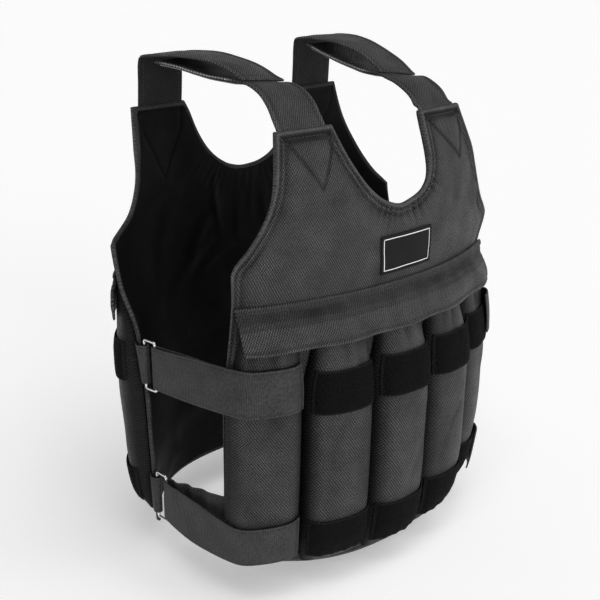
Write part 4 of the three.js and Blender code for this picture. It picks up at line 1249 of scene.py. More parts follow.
def dense(line, step=3.0):
    line = np.asarray(line, float)
    run = run_lengths(line)
    places = np.linspace(0, run[-1], max(2, int(run[-1] / step)))
    return np.stack([np.interp(places, run, line[:, k]) for k in range(line.shape[1])], -1)


def panel_stitches(panel, length, gap):
    rows = []
    sides, neck = outline_lines(panel)
    for line in (sides, neck):
        for distance in (5.6, 11.5):
            rows += stitch_row(*skin_line(panel, offset_line(panel, line, distance)), length, gap)
    for seam in panel.seams:
        rows += stitch_row(*skin_line(panel, dense(seam)), length, gap)
    return rows


def pocket_place(panel, place, station, share):
    """Distance round the panel, height, and swell of points of a pocket."""
    swell = POCKET_DEPTH * along(POCKET_SECTIONS, "swell", share)
    width = along(POCKET_MOUTHS, "width", share)
    flat_z = POCKET_BASE + share * (POCKET_TOP - POCKET_BASE)
    middle = across_at(panel, place * pocket_pitch(panel, flat_z), flat_z)
    follow = np.maximum(0, 1 - flat_z / UPPER_TAPE_FOOT) ** 1.3
    z = flat_z + hem_at(panel, middle) * follow
    pitch = pocket_pitch(panel, z)
    around = place * pitch + station * width * (pitch - POCKET_GAP) / 2
    fill = panel.pocket_fill[int(round(place + (panel.pocket_count - 1) / 2))]
    return around, z, swell * fill * np.sqrt(1 - np.abs(station) ** POCKET_ROUNDNESS)


def pocket_pitch(panel, z):
    return 2 * (edge_around(panel, z) - panel.pocket_margin) / panel.pocket_count


def pocket_point(panel, place, station, share, lift):
    around, z, swell = pocket_place(panel, place, station, share)
    return skin_point(panel, around, z, DRAPE + POCKET_SKIN + swell + lift)


def pocket_relief(number, u, v, width, height, size):
    """Unevenness of a filled pocket: soft dents of the packs, and gathers drawn in at its mouth and foot."""
    station, share = u / width * 2 - 1, v / height
    turns = np.random.default_rng(40 + number)
    dents = soft_noise(u, v * 0.45, 46, 60 + number)
    mouth = smoothstep(share, 0.8, 0.96)
    folds = (
        np.sin(station * math.pi * 3.2 + turns.uniform(0, 6)) * (0.6 + 0.4 * np.sin(station * 7 + number))
    )
    foot = 1 - smoothstep(share, 0.02, 0.14)
    tucks = np.sin(station * math.pi * 5 + turns.uniform(0, 6))
    raised = size * dents + 2.8 * mouth * folds + 1.2 * foot * tucks
    for _ in range(6):
        crease = Fold(
            turns.uniform(0.15, 0.85) * width,
            turns.uniform(0.1, 0.9) * height,
            turns.uniform(-35, 35),
            turns.uniform(18, 40),
            turns.uniform(3.5, 7),
            turns.uniform(-1.6, 1.4),
        )
        raised = raised + fold_height([crease], u, v)
    return raised


def build_pocket(panel, k, number, wave):
    place = k - (panel.pocket_count - 1) / 2
    height = POCKET_TOP - POCKET_BASE
    width = float(pocket_pitch(panel, np.array(200.0))) - POCKET_GAP
    us = spread(width, (2.2,), (), (0, 0.5, 1.2, 2.2, 3.6, 5.5, 8.0))
    vs = spread(height, (4.0, 2.6), (0.72 * height,), (0, 0.6, 1.4, 2.6, 4.2, 6.5))
    u, v = np.meshgrid(us, vs, indexing="ij")
    edge = cut_edge(u, v)
    station, share = 2 * u / width - 1, v / height
    around, z, swell = pocket_place(panel, place, station, share)
    raised = pocket_relief(number, u, v, width, height, wave) * smoothstep(edge, 1, 14)
    half = POCKET_SKIN / 2 * crown(edge, 1.4)
    middle = DRAPE + POCKET_SKIN / 2
    x = across_at(panel, around, z)
    face = panel_point(panel, x, z, PANEL_THICKNESS / 2 + middle + half + swell + raised)
    back = panel_point(panel, x, z, PANEL_THICKNESS / 2 + middle - half)
    points, faces = shell(face, back)
    flat = np.stack([u, v], -1) / 1000
    rim = np.stack([edge, edge], -1) / 1000
    uv = {"cloth": shell_values(flat, flat), "edge": shell_values(rim, rim)}
    flank = np.minimum(u, width - u)
    # Painted highlight on the bulges and painted shade in the dents, with painted shade on the flanks and
    # along the rim, where the pockets meet.
    tone = 1 + 0.2 * raised - 0.62 * (1 - smoothstep(flank, 3, 15)) - 0.4 * (1 - smoothstep(edge, 1.5, 5))
    tone = shell_values(np.clip(tone, 0.12, 1.7)[..., None], np.ones(u.shape + (1,)))
    name = f"{panel.name}_pocket_{k + 1}"
    piece = make_piece(f"{name}_bag", points, faces, [finish_named("Pocket nylon Oxford")], uv, tone=tone)
    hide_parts(name)
    return piece


def build_tape(panel, k, number, level, foot, height, wave):
    place = k - (panel.pocket_count - 1) / 2
    span = float(pocket_pitch(panel, np.array(foot + height / 2))) - POCKET_GAP
    width = TAPE_REACH * span
    pocket_width = float(pocket_pitch(panel, np.array(200.0))) - POCKET_GAP
    pocket_height = POCKET_TOP - POCKET_BASE
    us = spread(width, (2.6,), (), (0, 0.4, 1.0, 1.8, 3.0))
    vs = spread(height, (2.6,), (), (0, 0.4, 1.0, 1.8, 3.0))

    def place_tape(u, v, lift):
        station = (2 * u / width - 1) * TAPE_REACH
        share = (foot - POCKET_BASE + v) / pocket_height
        u, v = (station + 1) / 2 * pocket_width, share * pocket_height
        under = pocket_relief(number, u, v, pocket_width, pocket_height, wave)
        return pocket_point(panel, place, station, share, 0.35 + lift + np.maximum(0.8 * under, -0.4))

    name = f"{panel.name}_{level}_tape_{k + 1}"
    piece = cut_piece(
        f"{name}_pile",
        us,
        vs,
        place_tape,
        TAPE_THICKNESS,
        finish_named("Loop pile nylon"),
        relief=lambda u, v, edge: 0.5 * smoothstep(edge, 1.5, 5) + 0.25 * soft_noise(u, v, 9, number),
        centre=DRAPE + TAPE_THICKNESS / 2,
    )
    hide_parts(name)
    return piece


def flap_place(panel, u, v, width, lift):
    share = v / (FLAP_TOP - FLAP_FOOT)
    z = FLAP_TOP - v
    reach = edge_around(panel, z) - panel.pocket_margin - FLAP_END_SLANT * share
    around = reach * (2 * u / width - 1)
    pitch = pocket_pitch(panel, z)
    wave = np.cos(2 * math.pi * (around / pitch + (panel.pocket_count - 1) / 2))
    tucked = 2.6 * smoothstep(v, 3, 9) * (1 - smoothstep(v, 14, 21))
    slack = 1.2 * soft_noise(around, v * 1.5, 55, 12) * smoothstep(v, 5, 20)
    stand = DRAPE + FLAP_STAND * share**0.8 + 1.3 * wave * share - tucked + slack
    return skin_point(panel, around, z, np.maximum(stand, 0.6) + lift)


def flap_relief(u, v, edge):
    """Two grooves at the seam, a slack band under them, and a turned and stitched lower edge."""
    raised = (
        -0.9 * hump(v, 3.4, 1.0) - 0.9 * hump(v, 7.2, 1.1)
        - 1.0 * hump(v, 20.5, 1.5) - 0.6 * hump(v, 42.5, 1.2)
    )
    slack = hump(v, 14, 5)
    raised = raised + slack * (0.6 + 1.1 * soft_noise(u, v * 2.5, 26, 5)) + 1.1 * hump(v, 31, 8)
    raised = raised + 0.9 * soft_noise(u, v * 1.6, 30, 9) * smoothstep(v, 6, 16)
    return raised


def flap_shading_and_mottle(u, v, edge):
    """Painted shade in the tuck under the seam and in each stitched groove, painted highlight along the
    turned edge.
    """
    tone = (
        1 - 0.6 * smoothstep(v, 7, 10) * (1 - smoothstep(v, 14, 21)) * (0.9 + 0.35 * soft_noise(u, v, 60, 6))
    )
    for groove in (3.4, 7.2, 20.5, 42.5):
        tone = tone - 0.6 * hump(v, groove, 1.2)
    return np.clip(tone + 0.3 * hump(v, 45.5, 1.2) + 0.12 * soft_noise(u, v, 22, 17), 0.2, 1.8)


def build_flap(panel):
    height = FLAP_TOP - FLAP_FOOT
    width = 2 * float(edge_around(panel, np.array(310.0)) - panel.pocket_margin)
    us = spread(width, (3.2,), (), (0, 0.5, 1.2, 2.2, 3.6, 5.5))
    vs = spread(height, (1.6,), (), (0, 0.5, 1.2, 2.2, 3.6))
    piece = cut_piece(
        f"{panel.name}_flap_shell",
        us,
        vs,
        lambda u, v, lift: flap_place(panel, u, v, width, lift),
        FLAP_THICKNESS,
        finish_named("Panel nylon Oxford"),
        relief=flap_relief,
        centre=FLAP_THICKNESS / 2,
        tone=flap_shading_and_mottle,
    )
    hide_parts(f"{panel.name}_flap")
    return piece


def flap_stitches(panel, length, gap):
    width = 2 * float(edge_around(panel, np.array(310.0)) - panel.pocket_margin)
    rows = []
    u = np.linspace(6, width - 6, 220)
    for v in (3.4, 7.2, 20.5, 42.5):
        lift = FLAP_THICKNESS + flap_relief(u, np.full(len(u), v), None)
        points = flap_place(panel, u, np.full(len(u), v), width, lift)
        beyond = flap_place(panel, u, np.full(len(u), v), width, lift + 1)
        rows += stitch_row(points, unit(beyond - points), length, gap)
    return rows


def build_badge():
    us = spread(BADGE_WIDTH, (2.4,), (), (0, 0.3, 0.8, 1.6, 2.6))
    vs = spread(BADGE_HEIGHT, (2.4,), (), (0, 0.3, 0.8, 1.6, 2.6))

    def place(u, v, lift):
        x = BADGE_CENTRE - BADGE_WIDTH / 2 + u
        z = BADGE_FOOT + v
        cloth = np.maximum(1.1 + fold_height(FRONT.folds, x, z) + 0.35 * soft_noise(x, z, 34, 3), 0.2)
        return panel_point(FRONT, x, z, PANEL_THICKNESS / 2 + cloth + lift)

    piece = cut_piece(
        "badge_patch",
        us,
        vs,
        place,
        BADGE_THICKNESS,
        finish_named("Damask polyester patch"),
        relief=lambda u, v, edge: -0.35 * hump(edge, 1.9, 0.8),
        centre=0.45 + BADGE_THICKNESS / 2,
    )
    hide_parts("badge")
    return piece


# Shoulder straps

SPAN_START = float(
    depth_at(FRONT, np.array((FRONT.tab_inner + FRONT.tab_outer) / 2), np.array(PANEL_HEIGHT))
)
SPAN_END = float(depth_at(BACK, np.array((BACK.tab_inner + BACK.tab_outer) / 2), np.array(PANEL_HEIGHT)))
SPAN = SPAN_START + SPAN_END


def depth_in_tab(panel, centre, z):
    half = STRAP_WIDTH / 2
    at_edges = (depth_at(panel, centre - half, z) + depth_at(panel, centre + half, z)) / 2
    return (depth_at(panel, centre, z) + at_edges) / 2


def strap_points(panel, shoulder):
    front, back = shoulder.front_centre, shoulder.back_centre
    centre = front if panel.facing < 0 else back
    points = []
    for below in (STRAP_INSERT, STRAP_INSERT / 2, 0.0):
        z = np.array(PANEL_HEIGHT - below)
        points.append(
            [shoulder.side * centre, panel.facing * float(depth_in_tab(panel, centre, z)), float(z)]
        )
    for row in shoulder.front_route if panel.facing < 0 else shoulder.back_route:
        x = shoulder.side * (front + (back - front) * row.reach)
        points.append([x, -SPAN_START + row.reach * SPAN, PANEL_HEIGHT + row.rise * SHOULDER_RISE])
    return points


def tab_slope(panel, z):
    change = depth_at(panel, panel.tab_outer, z) - depth_at(panel, panel.tab_inner, z)
    return panel.facing * change / (panel.tab_outer - panel.tab_inner)


def strap_line(panel, shoulder, shares):
    """Middle points of a strap, and its directions ahead, across and inward, at shares of its curve."""
    middle, ahead = smooth_curve(strap_points(panel, shoulder), shares)
    reach = (middle[:, 1] + SPAN_START) / SPAN
    tilt = along(shoulder.tilt, "tilt", reach)
    if panel is BACK:
        tilt = tilt + END_TILT * (1 - smoothstep(reach, 0.25, 0.5))
    slope = tab_slope(panel, np.minimum(middle[:, 2], PANEL_HEIGHT))
    if panel is BACK:
        under = tab_slope(FRONT, np.full(len(middle), PANEL_HEIGHT))
        slope = under + (slope - under) * smoothstep(reach, 0.3, 0.85)
    across = np.stack([np.full(len(middle), float(shoulder.side)), slope, tilt], -1)
    across = unit(across - ahead * (across * ahead).sum(-1, keepdims=True))
    up = unit(np.cross(across, ahead) * shoulder.side * panel.facing)
    return middle, ahead, across, up


def strap_shares(panel, shoulder, low, high, step):
    """Shares of a strap's curve, even in length, and their distances along it."""
    fine = np.linspace(low, high, 400)
    run = run_lengths(strap_line(panel, shoulder, fine)[0])
    length = run[-1]
    places = spread(length, (step,), (), (0, 0.4, 1.0, 1.8, 2.8, 4.2))
    return np.interp(places, run, fine), places


def strap_shading_and_mottle(u, v, edge, panel):
    # Painted highlight on the rolled edges and, as shine, along the strap's edge; painted shade in the
    # stitched channels and near the end; and a little random unevenness of the cloth's own colour.
    side = np.minimum(u, STRAP_WIDTH - u)
    shine = (EDGE_HIGHLIGHT if panel is FRONT else 0.5) * (1 - smoothstep(side, 0.3, 1.1))
    shine = shine * smoothstep(v, 120, 135) * (1 - smoothstep(v, v.max() - 20, v.max() - 5))
    end = v.max() - v
    tone = 1 + 0.35 * hump(side, 2.4, 1.6) - 0.5 * hump(side, 6.0, 1.5) - 0.4 * hump(end, 6.0, 1.5)
    return np.clip(tone + 0.1 * soft_noise(u, v, 24, 19), 0.3, 1.8) + shine


def strap_relief(u, v, edge):
    """A padded strap: rolled edges, a stitched channel beside each, and a soft middle."""
    side = np.minimum(u, STRAP_WIDTH - u)
    raised = 0.35 * hump(side, 2.6, 1.6) - 0.8 * hump(side, 6.0, 1.3) + 0.8 * smoothstep(side, 8, 22)
    return raised + 0.35 * soft_noise(u, v, 30, 21) * smoothstep(side, 6, 12)


def build_shoulder_strap(panel, shoulder):
    shares, vs = strap_shares(panel, shoulder, 0.0, 1.0, 3.4)
    us = spread(STRAP_WIDTH, (2.4,), (), (0, 0.4, 1.0, 1.8, 2.8, 4.2, 5.6, 7.0))
    middle, _, across, inward = strap_line(panel, shoulder, shares)
    up = -inward

    def place(u, v, lift):
        offset = (u - STRAP_WIDTH / 2)[..., None] * across[None]
        settled = END_SETTLE * smoothstep(v, vs[-1] - END_PRESS, vs[-1]) if panel is BACK else 0.0
        return middle[None] + offset + (lift - settled)[..., None] * up[None]

    def relief(u, v, edge):
        return strap_relief(u, v, edge) * smoothstep(v, STRAP_INSERT + 2, STRAP_INSERT + 14) * 0.9

    end = "front" if panel.facing < 0 else "back"
    name = f"{shoulder.name}_shoulder_{end}_strap"
    piece = cut_piece(
        f"{name}_shell",
        us,
        vs,
        place,
        STRAP_THICKNESS,
        finish_named("Panel nylon Oxford"),
        relief=relief,
        tone=lambda u, v, edge: strap_shading_and_mottle(u, v, edge, panel),
        inner=finish_named("Strap underside nylon"),
    )
    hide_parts(name)
    return piece


def strap_stitches(panel, shoulder, length, gap):
    shares, vs = strap_shares(panel, shoulder, 0.0, 1.0, 3.4)
    middle, _, across, inward = strap_line(panel, shoulder, shares)
    up = -inward
    beyond = vs > STRAP_INSERT + 6
    rows = []
    for side in (-1, 1):
        offset = side * (STRAP_WIDTH / 2 - 6.0)
        for face in (1, -1):
            inside = np.full(len(vs), 6.0)
            raised = strap_relief(inside, vs, None) * 0.9 if face > 0 else 0.0
            settled = END_SETTLE * smoothstep(vs, vs[-1] - END_PRESS, vs[-1]) if panel is BACK else 0.0
            lift = face * (STRAP_THICKNESS / 2 + raised) - settled
            points = middle + offset * across + np.reshape(lift, (-1, 1)) * up
            kept = beyond & ((face > 0) | (vs < vs[-1] - 45))
            rows += stitch_row(points[kept], face * up[kept], length, gap)
    inset = np.linspace(-STRAP_WIDTH / 2 + 6, STRAP_WIDTH / 2 - 6, 16)
    last = -4
    settled = END_SETTLE if panel is BACK else 0.0
    line = middle[last] + inset[:, None] * across[last] + (STRAP_THICKNESS / 2 + 0.1 - settled) * up[last]
    rows += stitch_row(line, np.repeat(up[last][None], len(line), 0), length, gap)
    return rows


def build_hook_tape(shoulder):
    fine = np.linspace(0, 1, 800)
    middle = strap_line(FRONT, shoulder, fine)[0]
    reach = (middle[:, 1] + SPAN_START) / SPAN
    low, high = (float(fine[np.argmax(reach >= goal)]) for goal in (HOOK_TAPE_FROM, HOOK_TAPE_TO))
    shares, vs = strap_shares(FRONT, shoulder, low, high, 3.4)
    width = STRAP_WIDTH - 2 * HOOK_TAPE_MARGIN
    us = spread(width, (4.0,), (), (0, 0.3, 0.8, 1.6, 2.6))
    points, _, across, up = strap_line(FRONT, shoulder, shares)
    lift_off = STRAP_THICKNESS / 2 + CLEARANCE + HOOK_TAPE_THICKNESS / 2 + 0.2

    def place(u, v, lift):
        offset = (u - width / 2)[..., None] * across[None]
        return points[None] + offset + (lift + lift_off)[..., None] * up[None]

    name = f"{shoulder.name}_shoulder_hook_tape"
    piece = cut_piece(f"{name}_hooks", us, vs, place, HOOK_TAPE_THICKNESS, finish_named("Hook tape nylon"))
    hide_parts(name)
    return piece


# Side straps and rings


def ring_place(side, foot):
    z = np.array(foot + WEBBING_WIDTH / 2)
    back_edge, front_edge = (
        panel_point(panel, side * half_width_at(panel, z), z, 0.0) for panel in (BACK, FRONT)
    )
    heading = unit(front_edge - back_edge)
    far_bar = back_edge + heading * (DRAPE + RING_WIRE_RADIUS)
    return heading, far_bar, far_bar + heading * RING_WIDTH


def turn_round(bar, z, start, bulge, radius, steps=5):
    points = []
    for angle in np.linspace(0, math.pi, steps):
        spot = np.array([bar[0], bar[1], z])
        points.append(spot + start * radius * math.cos(angle) + bulge * radius * math.sin(angle))
    return points


def upright_band(points_at, us, vs, lifts):
    """Points of an upright band: points_at gives its curve at a height, us are distances, vs heights."""
    grid = []
    for v in vs:
        points = points_at(v)
        fine = np.linspace(0, 1, 500)
        line, _ = smooth_curve(points, fine)
        run = run_lengths(line)
        shares = np.interp(us / us[-1] * run[-1], run, fine)
        place, ahead = smooth_curve(points, shares)
        flat = np.maximum(np.hypot(ahead[:, 0], ahead[:, 1]), 1e-6)
        out = np.stack([-ahead[:, 1] / flat, ahead[:, 0] / flat, np.zeros(len(flat))], -1)
        grid.append((place, out))
    place = np.stack([row[0] for row in grid], 1)
    out = np.stack([row[1] for row in grid], 1)
    return [place + out * lift[..., None] for lift in lifts]


def band_length(points_at, height):
    return run_lengths(smooth_curve(points_at(height / 2), np.linspace(0, 1, 400))[0])[-1]


def band_piece(name, points_at, height, thickness, step, material, relief=None):
    length = band_length(points_at, height)
    us = spread(length, (step,), (), (0, 0.4, 1.0, 1.8, 2.8))
    vs = spread(height, (3.0,), (), (0, 0.4, 1.0, 1.8, 2.8, 4.2))
    u, v = np.meshgrid(us, vs, indexing="ij")
    edge = cut_edge(u, v)
    half = thickness / 2 * crown(edge, thickness / 2)
    raised = relief(u, v, edge) if relief else np.zeros(u.shape)
    face, back = upright_band(points_at, us, vs, (half + raised, -half + raised))
    points, faces = shell(face, back)
    flat = np.stack([u, v], -1) / 1000
    rim = np.stack([edge, edge], -1) / 1000
    uv = {"cloth": shell_values(flat, flat), "edge": shell_values(rim, rim)}
    side, end = np.minimum(v, height - v), length - u
    # Painted highlight along the rims, painted shade in a line beside them and near the end, and a random
    # unevenness of the webbing's own colour.
    tone = 1 + 0.3 * hump(side, 0.8, 0.8) - 0.4 * hump(side, 3.0, 0.9) - 0.55 * hump(end, 5.0, 1.0)
    tone = np.clip(tone + 0.18 * soft_noise(u, v, 28, int(length)), 0.3, 1.7)
    tone = shell_values(tone[..., None], tone[..., None])
    return make_piece(name, points, faces, [material], uv, tone=tone), length


Corner = namedtuple("Corner", "out up start")


def build_ring(side, name, foot):
    heading, far_bar, _ = ring_place(side, foot)
    high = RING_HEIGHT / 2 - RING_CORNER
    corners = (
        Corner(RING_WIDTH - RING_CORNER, high, 0),
        Corner(RING_CORNER, high, 90),
        Corner(RING_CORNER, -high, 180),
        Corner(RING_WIDTH - RING_CORNER, -high, 270),
    )
    points = []
    for corner in corners:
        for turn in range(0, 91, 15):
            angle = math.radians(corner.start + turn)
            spot = far_bar + heading * (corner.out + RING_CORNER * math.cos(angle))
            points.append(spot + np.array([0, 0, corner.up + RING_CORNER * math.sin(angle)]))
    points = np.array(points)
    fine = dense(np.concatenate([points, points[:1]]), 1.6)[:-1]
    ahead = unit(np.roll(fine, -1, 0) - np.roll(fine, 1, 0))
    across = unit(np.cross(heading, [0, 0, 1.0]))
    out = unit(np.cross(ahead, across))
    sides = 16
    rings = []
    for k in range(sides):
        angle = 2 * math.pi * k / sides
        rings.append(fine + RING_WIRE_RADIUS * (across * math.cos(angle) + out * math.sin(angle)))
    grid = np.stack(rings, 1)
    index = np.arange(grid.shape[0] * sides).reshape(-1, sides)
    ahead_index = np.roll(index, -1, 0)
    faces = np.stack(
        [index, np.roll(index, -1, 1), np.roll(ahead_index, -1, 1), ahead_index], -1
    ).reshape(-1, 4)
    piece = make_piece(f"{name}_wire", grid.reshape(-1, 3), faces, [finish_named("Nickelled steel wire")])
    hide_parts(name)
    return piece


def ring_tab_points(side, foot):
    heading, far_bar, _ = ring_place(side, foot)
    outside = np.array([-heading[1], heading[0], 0.0]) * side
    lift = PANEL_THICKNESS / 2 + DRAPE + RING_TAB_THICKNESS / 2

    def leg(inset, offset, z):
        return panel_point(BACK, side * (half_width_at(BACK, z) - inset), z, offset)

    def points_at(height):
        z = np.array(foot + (WEBBING_WIDTH - RING_TAB_WIDTH) / 2 + height)
        outer = [leg(RING_TAB_LEG, lift, z), leg(0, lift, z)]
        inner = [leg(0, -lift, z), leg(RING_TAB_LEG, -lift, z)]
        return outer + turn_round(far_bar, float(z), outside, heading, lift) + inner

    return points_at


def build_ring_tab(side, name, foot):
    piece, length = band_piece(
        f"{name}_webbing",
        ring_tab_points(side, foot),
        RING_TAB_WIDTH,
        RING_TAB_THICKNESS,
        1.2,
        finish_named("Woven nylon webbing"),
    )
    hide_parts(name)
    return piece


def side_strap_points(side, end, foot, ring_foot, bulge, lift, rise):
    heading, _, near_bar = ring_place(side, ring_foot)
    inside = np.array([heading[1], -heading[0], 0.0]) * side
    outer_place = side * (FRONT.pocket_count - 1) / 2
    radius = RING_WIRE_RADIUS + CLEARANCE + WEBBING_THICKNESS / 2
    behind = -(PANEL_THICKNESS / 2 + DRAPE + WEBBING_THICKNESS / 2)
    over = TAPE_THICKNESS + 3 * DRAPE + WEBBING_THICKNESS / 2
    stations = [POCKET_REACH + share * (end - POCKET_REACH) for share in (0, 0.15, 0.37, 0.63, 0.85, 1)]

    def share_at(height):
        return (foot + height - POCKET_BASE) / (POCKET_TOP - POCKET_BASE)

    swell_low, swell_high = (along(POCKET_SECTIONS, "swell", share_at(h)) for h in (0.0, WEBBING_WIDTH))
    fullest = 0.0 if swell_low > swell_high else WEBBING_WIDTH

    def points_at(height):
        held = height + (fullest - height) * WEBBING_STIFFNESS
        z = ring_foot + height
        sewn = np.array(z + lift)
        edge = half_width_at(FRONT, sewn)
        hidden = [
            panel_point(
                FRONT, side * (edge - share * WEBBING_OVERLAP), sewn, behind - CLEARANCE * (2 - share)
            )
            for share in (1, 0.6, 0.2)
        ]
        turn = turn_round(near_bar, z, inside, -heading, radius)
        on_pocket = []
        for station in stations:
            share = np.array(share_at(held))
            point = pocket_point(FRONT, outer_place, np.array(side * station), share, over)
            on_pocket.append(point + np.array([0, 0, height - held + rise * height / WEBBING_WIDTH]))
        free = (turn[4] + on_pocket[0]) / 2 - inside * bulge * (1 - height / WEBBING_WIDTH)
        return [*hidden, (hidden[2] + turn[0]) / 2, *turn, free, *on_pocket]

    return points_at


def build_side_strap(side, name, end, foot, ring_foot, bulge, lift, rise, seed):
    points_at = side_strap_points(side, end, foot, ring_foot, bulge, lift, rise)

    def relief(u, v, edge):
        slack = rise / 3 * np.sin(2 * math.pi * u / 27 + 1.0) * smoothstep(v, 18, 46)
        return (0.5 * soft_noise(u, v * 0.5, 40, seed) + slack) * hump(u, 105, 42)

    piece, length = band_piece(
        f"{name}_webbing",
        points_at,
        WEBBING_WIDTH,
        WEBBING_THICKNESS,
        2.2,
        finish_named("Woven nylon webbing"),
        relief=relief,
    )
    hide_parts(name)
    return piece


# Operators


class VEST_OT_panels(bpy.types.Operator):
    """Sew the two padded panels with their bindings and linings"""

    bl_idname = "vest.panels"
    bl_label = "Panels"

    def execute(self, context):
        for panel in (FRONT, BACK):
            build_panel(panel)
        return {"FINISHED"}


class VEST_OT_pockets(bpy.types.Operator):
    """Fill the pockets round the front and the back"""

    bl_idname = "vest.pockets"
    bl_label = "Pockets"

    def execute(self, context):
        wave = context.scene.vest_sizes.pocket_wave * 1000
        for panel, first in ((FRONT, 0), (BACK, 10)):
            for k in range(panel.pocket_count):
                build_pocket(panel, k, first + k, wave)
        return {"FINISHED"}


class VEST_OT_tapes(bpy.types.Operator):
    """Sew the loop tapes on the pockets"""

    bl_idname = "vest.tapes"
    bl_label = "Loop tapes"

    def execute(self, context):
        wave = context.scene.vest_sizes.pocket_wave * 1000
        for panel, first in ((FRONT, 0), (BACK, 10)):
            for k in range(panel.pocket_count):
                held = HELD_TAPE_RISE if panel is FRONT and k == 0 else 0.0
                build_tape(panel, k, first + k, "upper", UPPER_TAPE_FOOT + held, UPPER_TAPE_HEIGHT, wave)
                build_tape(panel, k, first + k, "lower", LOWER_TAPE_FOOT, LOWER_TAPE_HEIGHT, wave)
        return {"FINISHED"}


class VEST_OT_flaps(bpy.types.Operator):
    """Hang the flaps over the pocket mouths"""

    bl_idname = "vest.flaps"
    bl_label = "Flaps"

    def execute(self, context):
        for panel in (FRONT, BACK):
            build_flap(panel)
        return {"FINISHED"}


class VEST_OT_badge(bpy.types.Operator):
    """Sew the bare woven patch on the chest"""

    bl_idname = "vest.badge"
    bl_label = "Patch"

    def execute(self, context):
        build_badge()
        return {"FINISHED"}


class VEST_OT_shoulders(bpy.types.Operator):
    """Lay the shoulder straps over each other with the hook tape between them"""

    bl_idname = "vest.shoulders"
    bl_label = "Shoulder straps"

    def execute(self, context):
        for shoulder in (LEFT_SHOULDER, RIGHT_SHOULDER):
            for panel in (FRONT, BACK):
                build_shoulder_strap(panel, shoulder)
            build_hook_tape(shoulder)
        return {"FINISHED"}


class VEST_OT_sides(bpy.types.Operator):
    """Thread the side straps through their rings"""

    bl_idname = "vest.sides"
    bl_label = "Side straps and rings"

    def execute(self, context):
        levels = (
            ("upper", UPPER_STRAP_FOOT, UPPER_RING_FOOT, UPPER_STRAP_BULGE, 0.0, 0.0),
            (
                "lower", LOWER_STRAP_FOOT, LOWER_RING_FOOT, LOWER_STRAP_BULGE, LOWER_STRAP_LIFT,
                LOWER_STRAP_RISE
            ),
        )
        for name, side, end in (("left", -1, -POCKET_REACH), ("right", 1, RIGHT_STRAP_END)):
            for level, foot, ring_foot, bulge, lift, rise in levels:
                seed = 70 + side + len(level) + int(foot)
                build_ring(side, f"{name}_{level}_ring", ring_foot)
                build_ring_tab(side, f"{name}_{level}_ring_tab", ring_foot)
                build_side_strap(
                    side, f"{name}_{level}_side_strap", end, foot, ring_foot, bulge, lift, rise, seed
                )
        return {"FINISHED"}


class VEST_OT_stitches(bpy.types.Operator):
    """Sew the visible rows of stitches"""

    bl_idname = "vest.stitches"
    bl_label = "Stitches"

    def execute(self, context):
        sizes = context.scene.vest_sizes
        length, gap, thread = sizes.stitch * 1000, sizes.stitch_gap * 1000, sizes.thread * 1000
        material = finish_named("Bonded nylon thread")
        for panel in (FRONT, BACK):
            rows = panel_stitches(panel, length, gap) + flap_stitches(panel, length, gap)
            sew(f"{panel.name}_panel_stitches", rows, length, thread, material)
        rows = []
        for shoulder in (LEFT_SHOULDER, RIGHT_SHOULDER):
            for panel in (FRONT, BACK):
                rows += strap_stitches(panel, shoulder, length, gap)
        sew("shoulder_strap_stitches", rows, length, thread, material)
        return {"FINISHED"}


CAMERA_AZIMUTH = -42.093
CAMERA_ELEVATION = 19.163
CAMERA_DISTANCE = 1.287
TARGET_HEIGHT = -0.2722
FLOOR_GAP = 0.004


# Soft lamps: where each stands and how wide it looks, in degrees, and its power in watts for a square metre
Lamp = namedtuple("Lamp", "name azimuth elevation width power")
LAMPS = (
    Lamp("overhead softbox", 20.0, 60.0, 60.0, 1.35),
    Lamp("key softbox", -12.0, 10.0, 32.0, 1.2),
    Lamp("top softbox", -60.0, 64.0, 22.0, 0.44),
)
FLOOR_REACH = 300.0
# The room is bright at eye level, where it stands behind the vest, and dim overhead
ROOM_LOW = 0.16
ROOM_HIGH = 0.42
ROOM_BRIGHT = 0.8
ROOM_DIM = 0.2


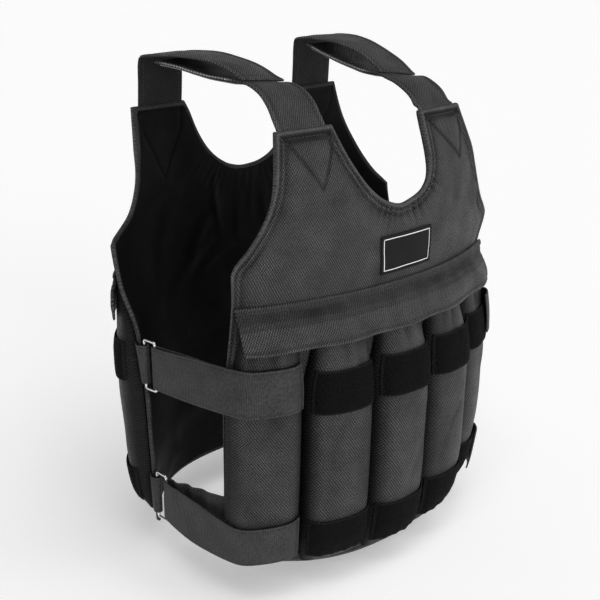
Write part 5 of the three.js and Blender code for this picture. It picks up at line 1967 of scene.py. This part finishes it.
class VEST_OT_stage(bpy.types.Operator):
    """Set the pale floor, the soft studio lights and the camera"""

    bl_idname = "vest.stage"
    bl_label = "Stage"

    def execute(self, context):
        scene = context.scene
        low = min(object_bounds()[0][2], -SEAT_HEIGHT / 1000)
        mesh = bpy.data.meshes.new("floor")
        signs = ((-1, -1), (1, -1), (1, 1), (-1, 1))
        corners = [(x * FLOOR_REACH, y * FLOOR_REACH, low - FLOOR_GAP) for x, y in signs]
        mesh.from_pydata(corners, [], [(0, 1, 2, 3)])
        floor = bpy.data.objects.new("floor", mesh)
        mesh.materials.append(finish_named("Studio acrylic"))
        scene.collection.objects.link(floor)
        floor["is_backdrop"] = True

        world = bpy.data.worlds.new("Studio room")
        world.use_nodes = True
        tree = world.node_tree
        back = tree.nodes["Background"]
        back.inputs["Color"].default_value = linear("#fafafa")
        heading = add(tree, "ShaderNodeTexCoord").outputs["Generated"]
        height = add(tree, "ShaderNodeSeparateXYZ", {"Vector": heading}).outputs["Z"]
        walls = remap(tree, height, ROOM_LOW, ROOM_HIGH, ROOM_BRIGHT, ROOM_DIM)
        tree.links.new(walls.outputs[0], back.inputs["Strength"])
        scene.world = world

        for lamp in LAMPS:
            light = bpy.data.lights.new(lamp.name, "SUN")
            light.angle = math.radians(lamp.width)
            light.energy = lamp.power
            holder = bpy.data.objects.new(lamp.name, light)
            holder.rotation_euler = (
                math.pi / 2 - math.radians(lamp.elevation), 0.0, math.radians(lamp.azimuth)
            )
            scene.collection.objects.link(holder)

        azimuth, elevation = math.radians(CAMERA_AZIMUTH), math.radians(CAMERA_ELEVATION)
        camera = bpy.data.cameras.new("photo camera")
        camera.lens = scene.vest_sizes.lens
        camera.sensor_width = 36.0
        camera.clip_end = 200.0
        holder = bpy.data.objects.new("photo camera", camera)
        flat = math.cos(elevation) * CAMERA_DISTANCE
        holder.location = (
            math.sin(azimuth) * flat,
            -math.cos(azimuth) * flat,
            TARGET_HEIGHT + math.sin(elevation) * CAMERA_DISTANCE,
        )
        holder.rotation_euler = (math.pi / 2 - elevation, 0.0, azimuth)
        scene.collection.objects.link(holder)
        scene.camera = holder
        scene.view_settings.view_transform = "Standard"
        return {"FINISHED"}


OPERATORS = (
    VEST_OT_panels,
    VEST_OT_pockets,
    VEST_OT_tapes,
    VEST_OT_flaps,
    VEST_OT_badge,
    VEST_OT_shoulders,
    VEST_OT_sides,
    VEST_OT_stitches,
    VEST_OT_stage,
)


class VEST_PT_sidebar(bpy.types.Panel):
    """Lists the vest's operators and settings"""

    bl_label = "Weighted vest"
    bl_space_type = "VIEW_3D"
    bl_region_type = "UI"
    bl_category = "Vest"

    def draw(self, context):
        for operator in OPERATORS:
            self.layout.operator(operator.bl_idname)
        for group in (context.scene.vest_sizes, context.scene.vest_colours):
            for name in group.bl_rna.properties.keys():
                if name not in ("rna_type", "name"):
                    self.layout.prop(group, name)


CLASSES = (VestColours, VestSizes, *OPERATORS, VEST_PT_sidebar)


def register():
    for item in CLASSES:
        bpy.utils.register_class(item)
    bpy.types.Scene.vest_sizes = bpy.props.PointerProperty(type=VestSizes)
    bpy.types.Scene.vest_colours = bpy.props.PointerProperty(type=VestColours)


def unregister():
    del bpy.types.Scene.vest_sizes
    del bpy.types.Scene.vest_colours
    for item in reversed(CLASSES):
        bpy.utils.unregister_class(item)


def main():
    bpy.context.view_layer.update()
    register()
    bpy.ops.vest.panels()
    bpy.ops.vest.pockets()
    bpy.ops.vest.tapes()
    bpy.ops.vest.flaps()
    bpy.ops.vest.badge()
    bpy.ops.vest.shoulders()
    bpy.ops.vest.sides()
    bpy.ops.vest.stitches()
    bpy.ops.vest.stage()


if __name__ == "__main__":
    main()
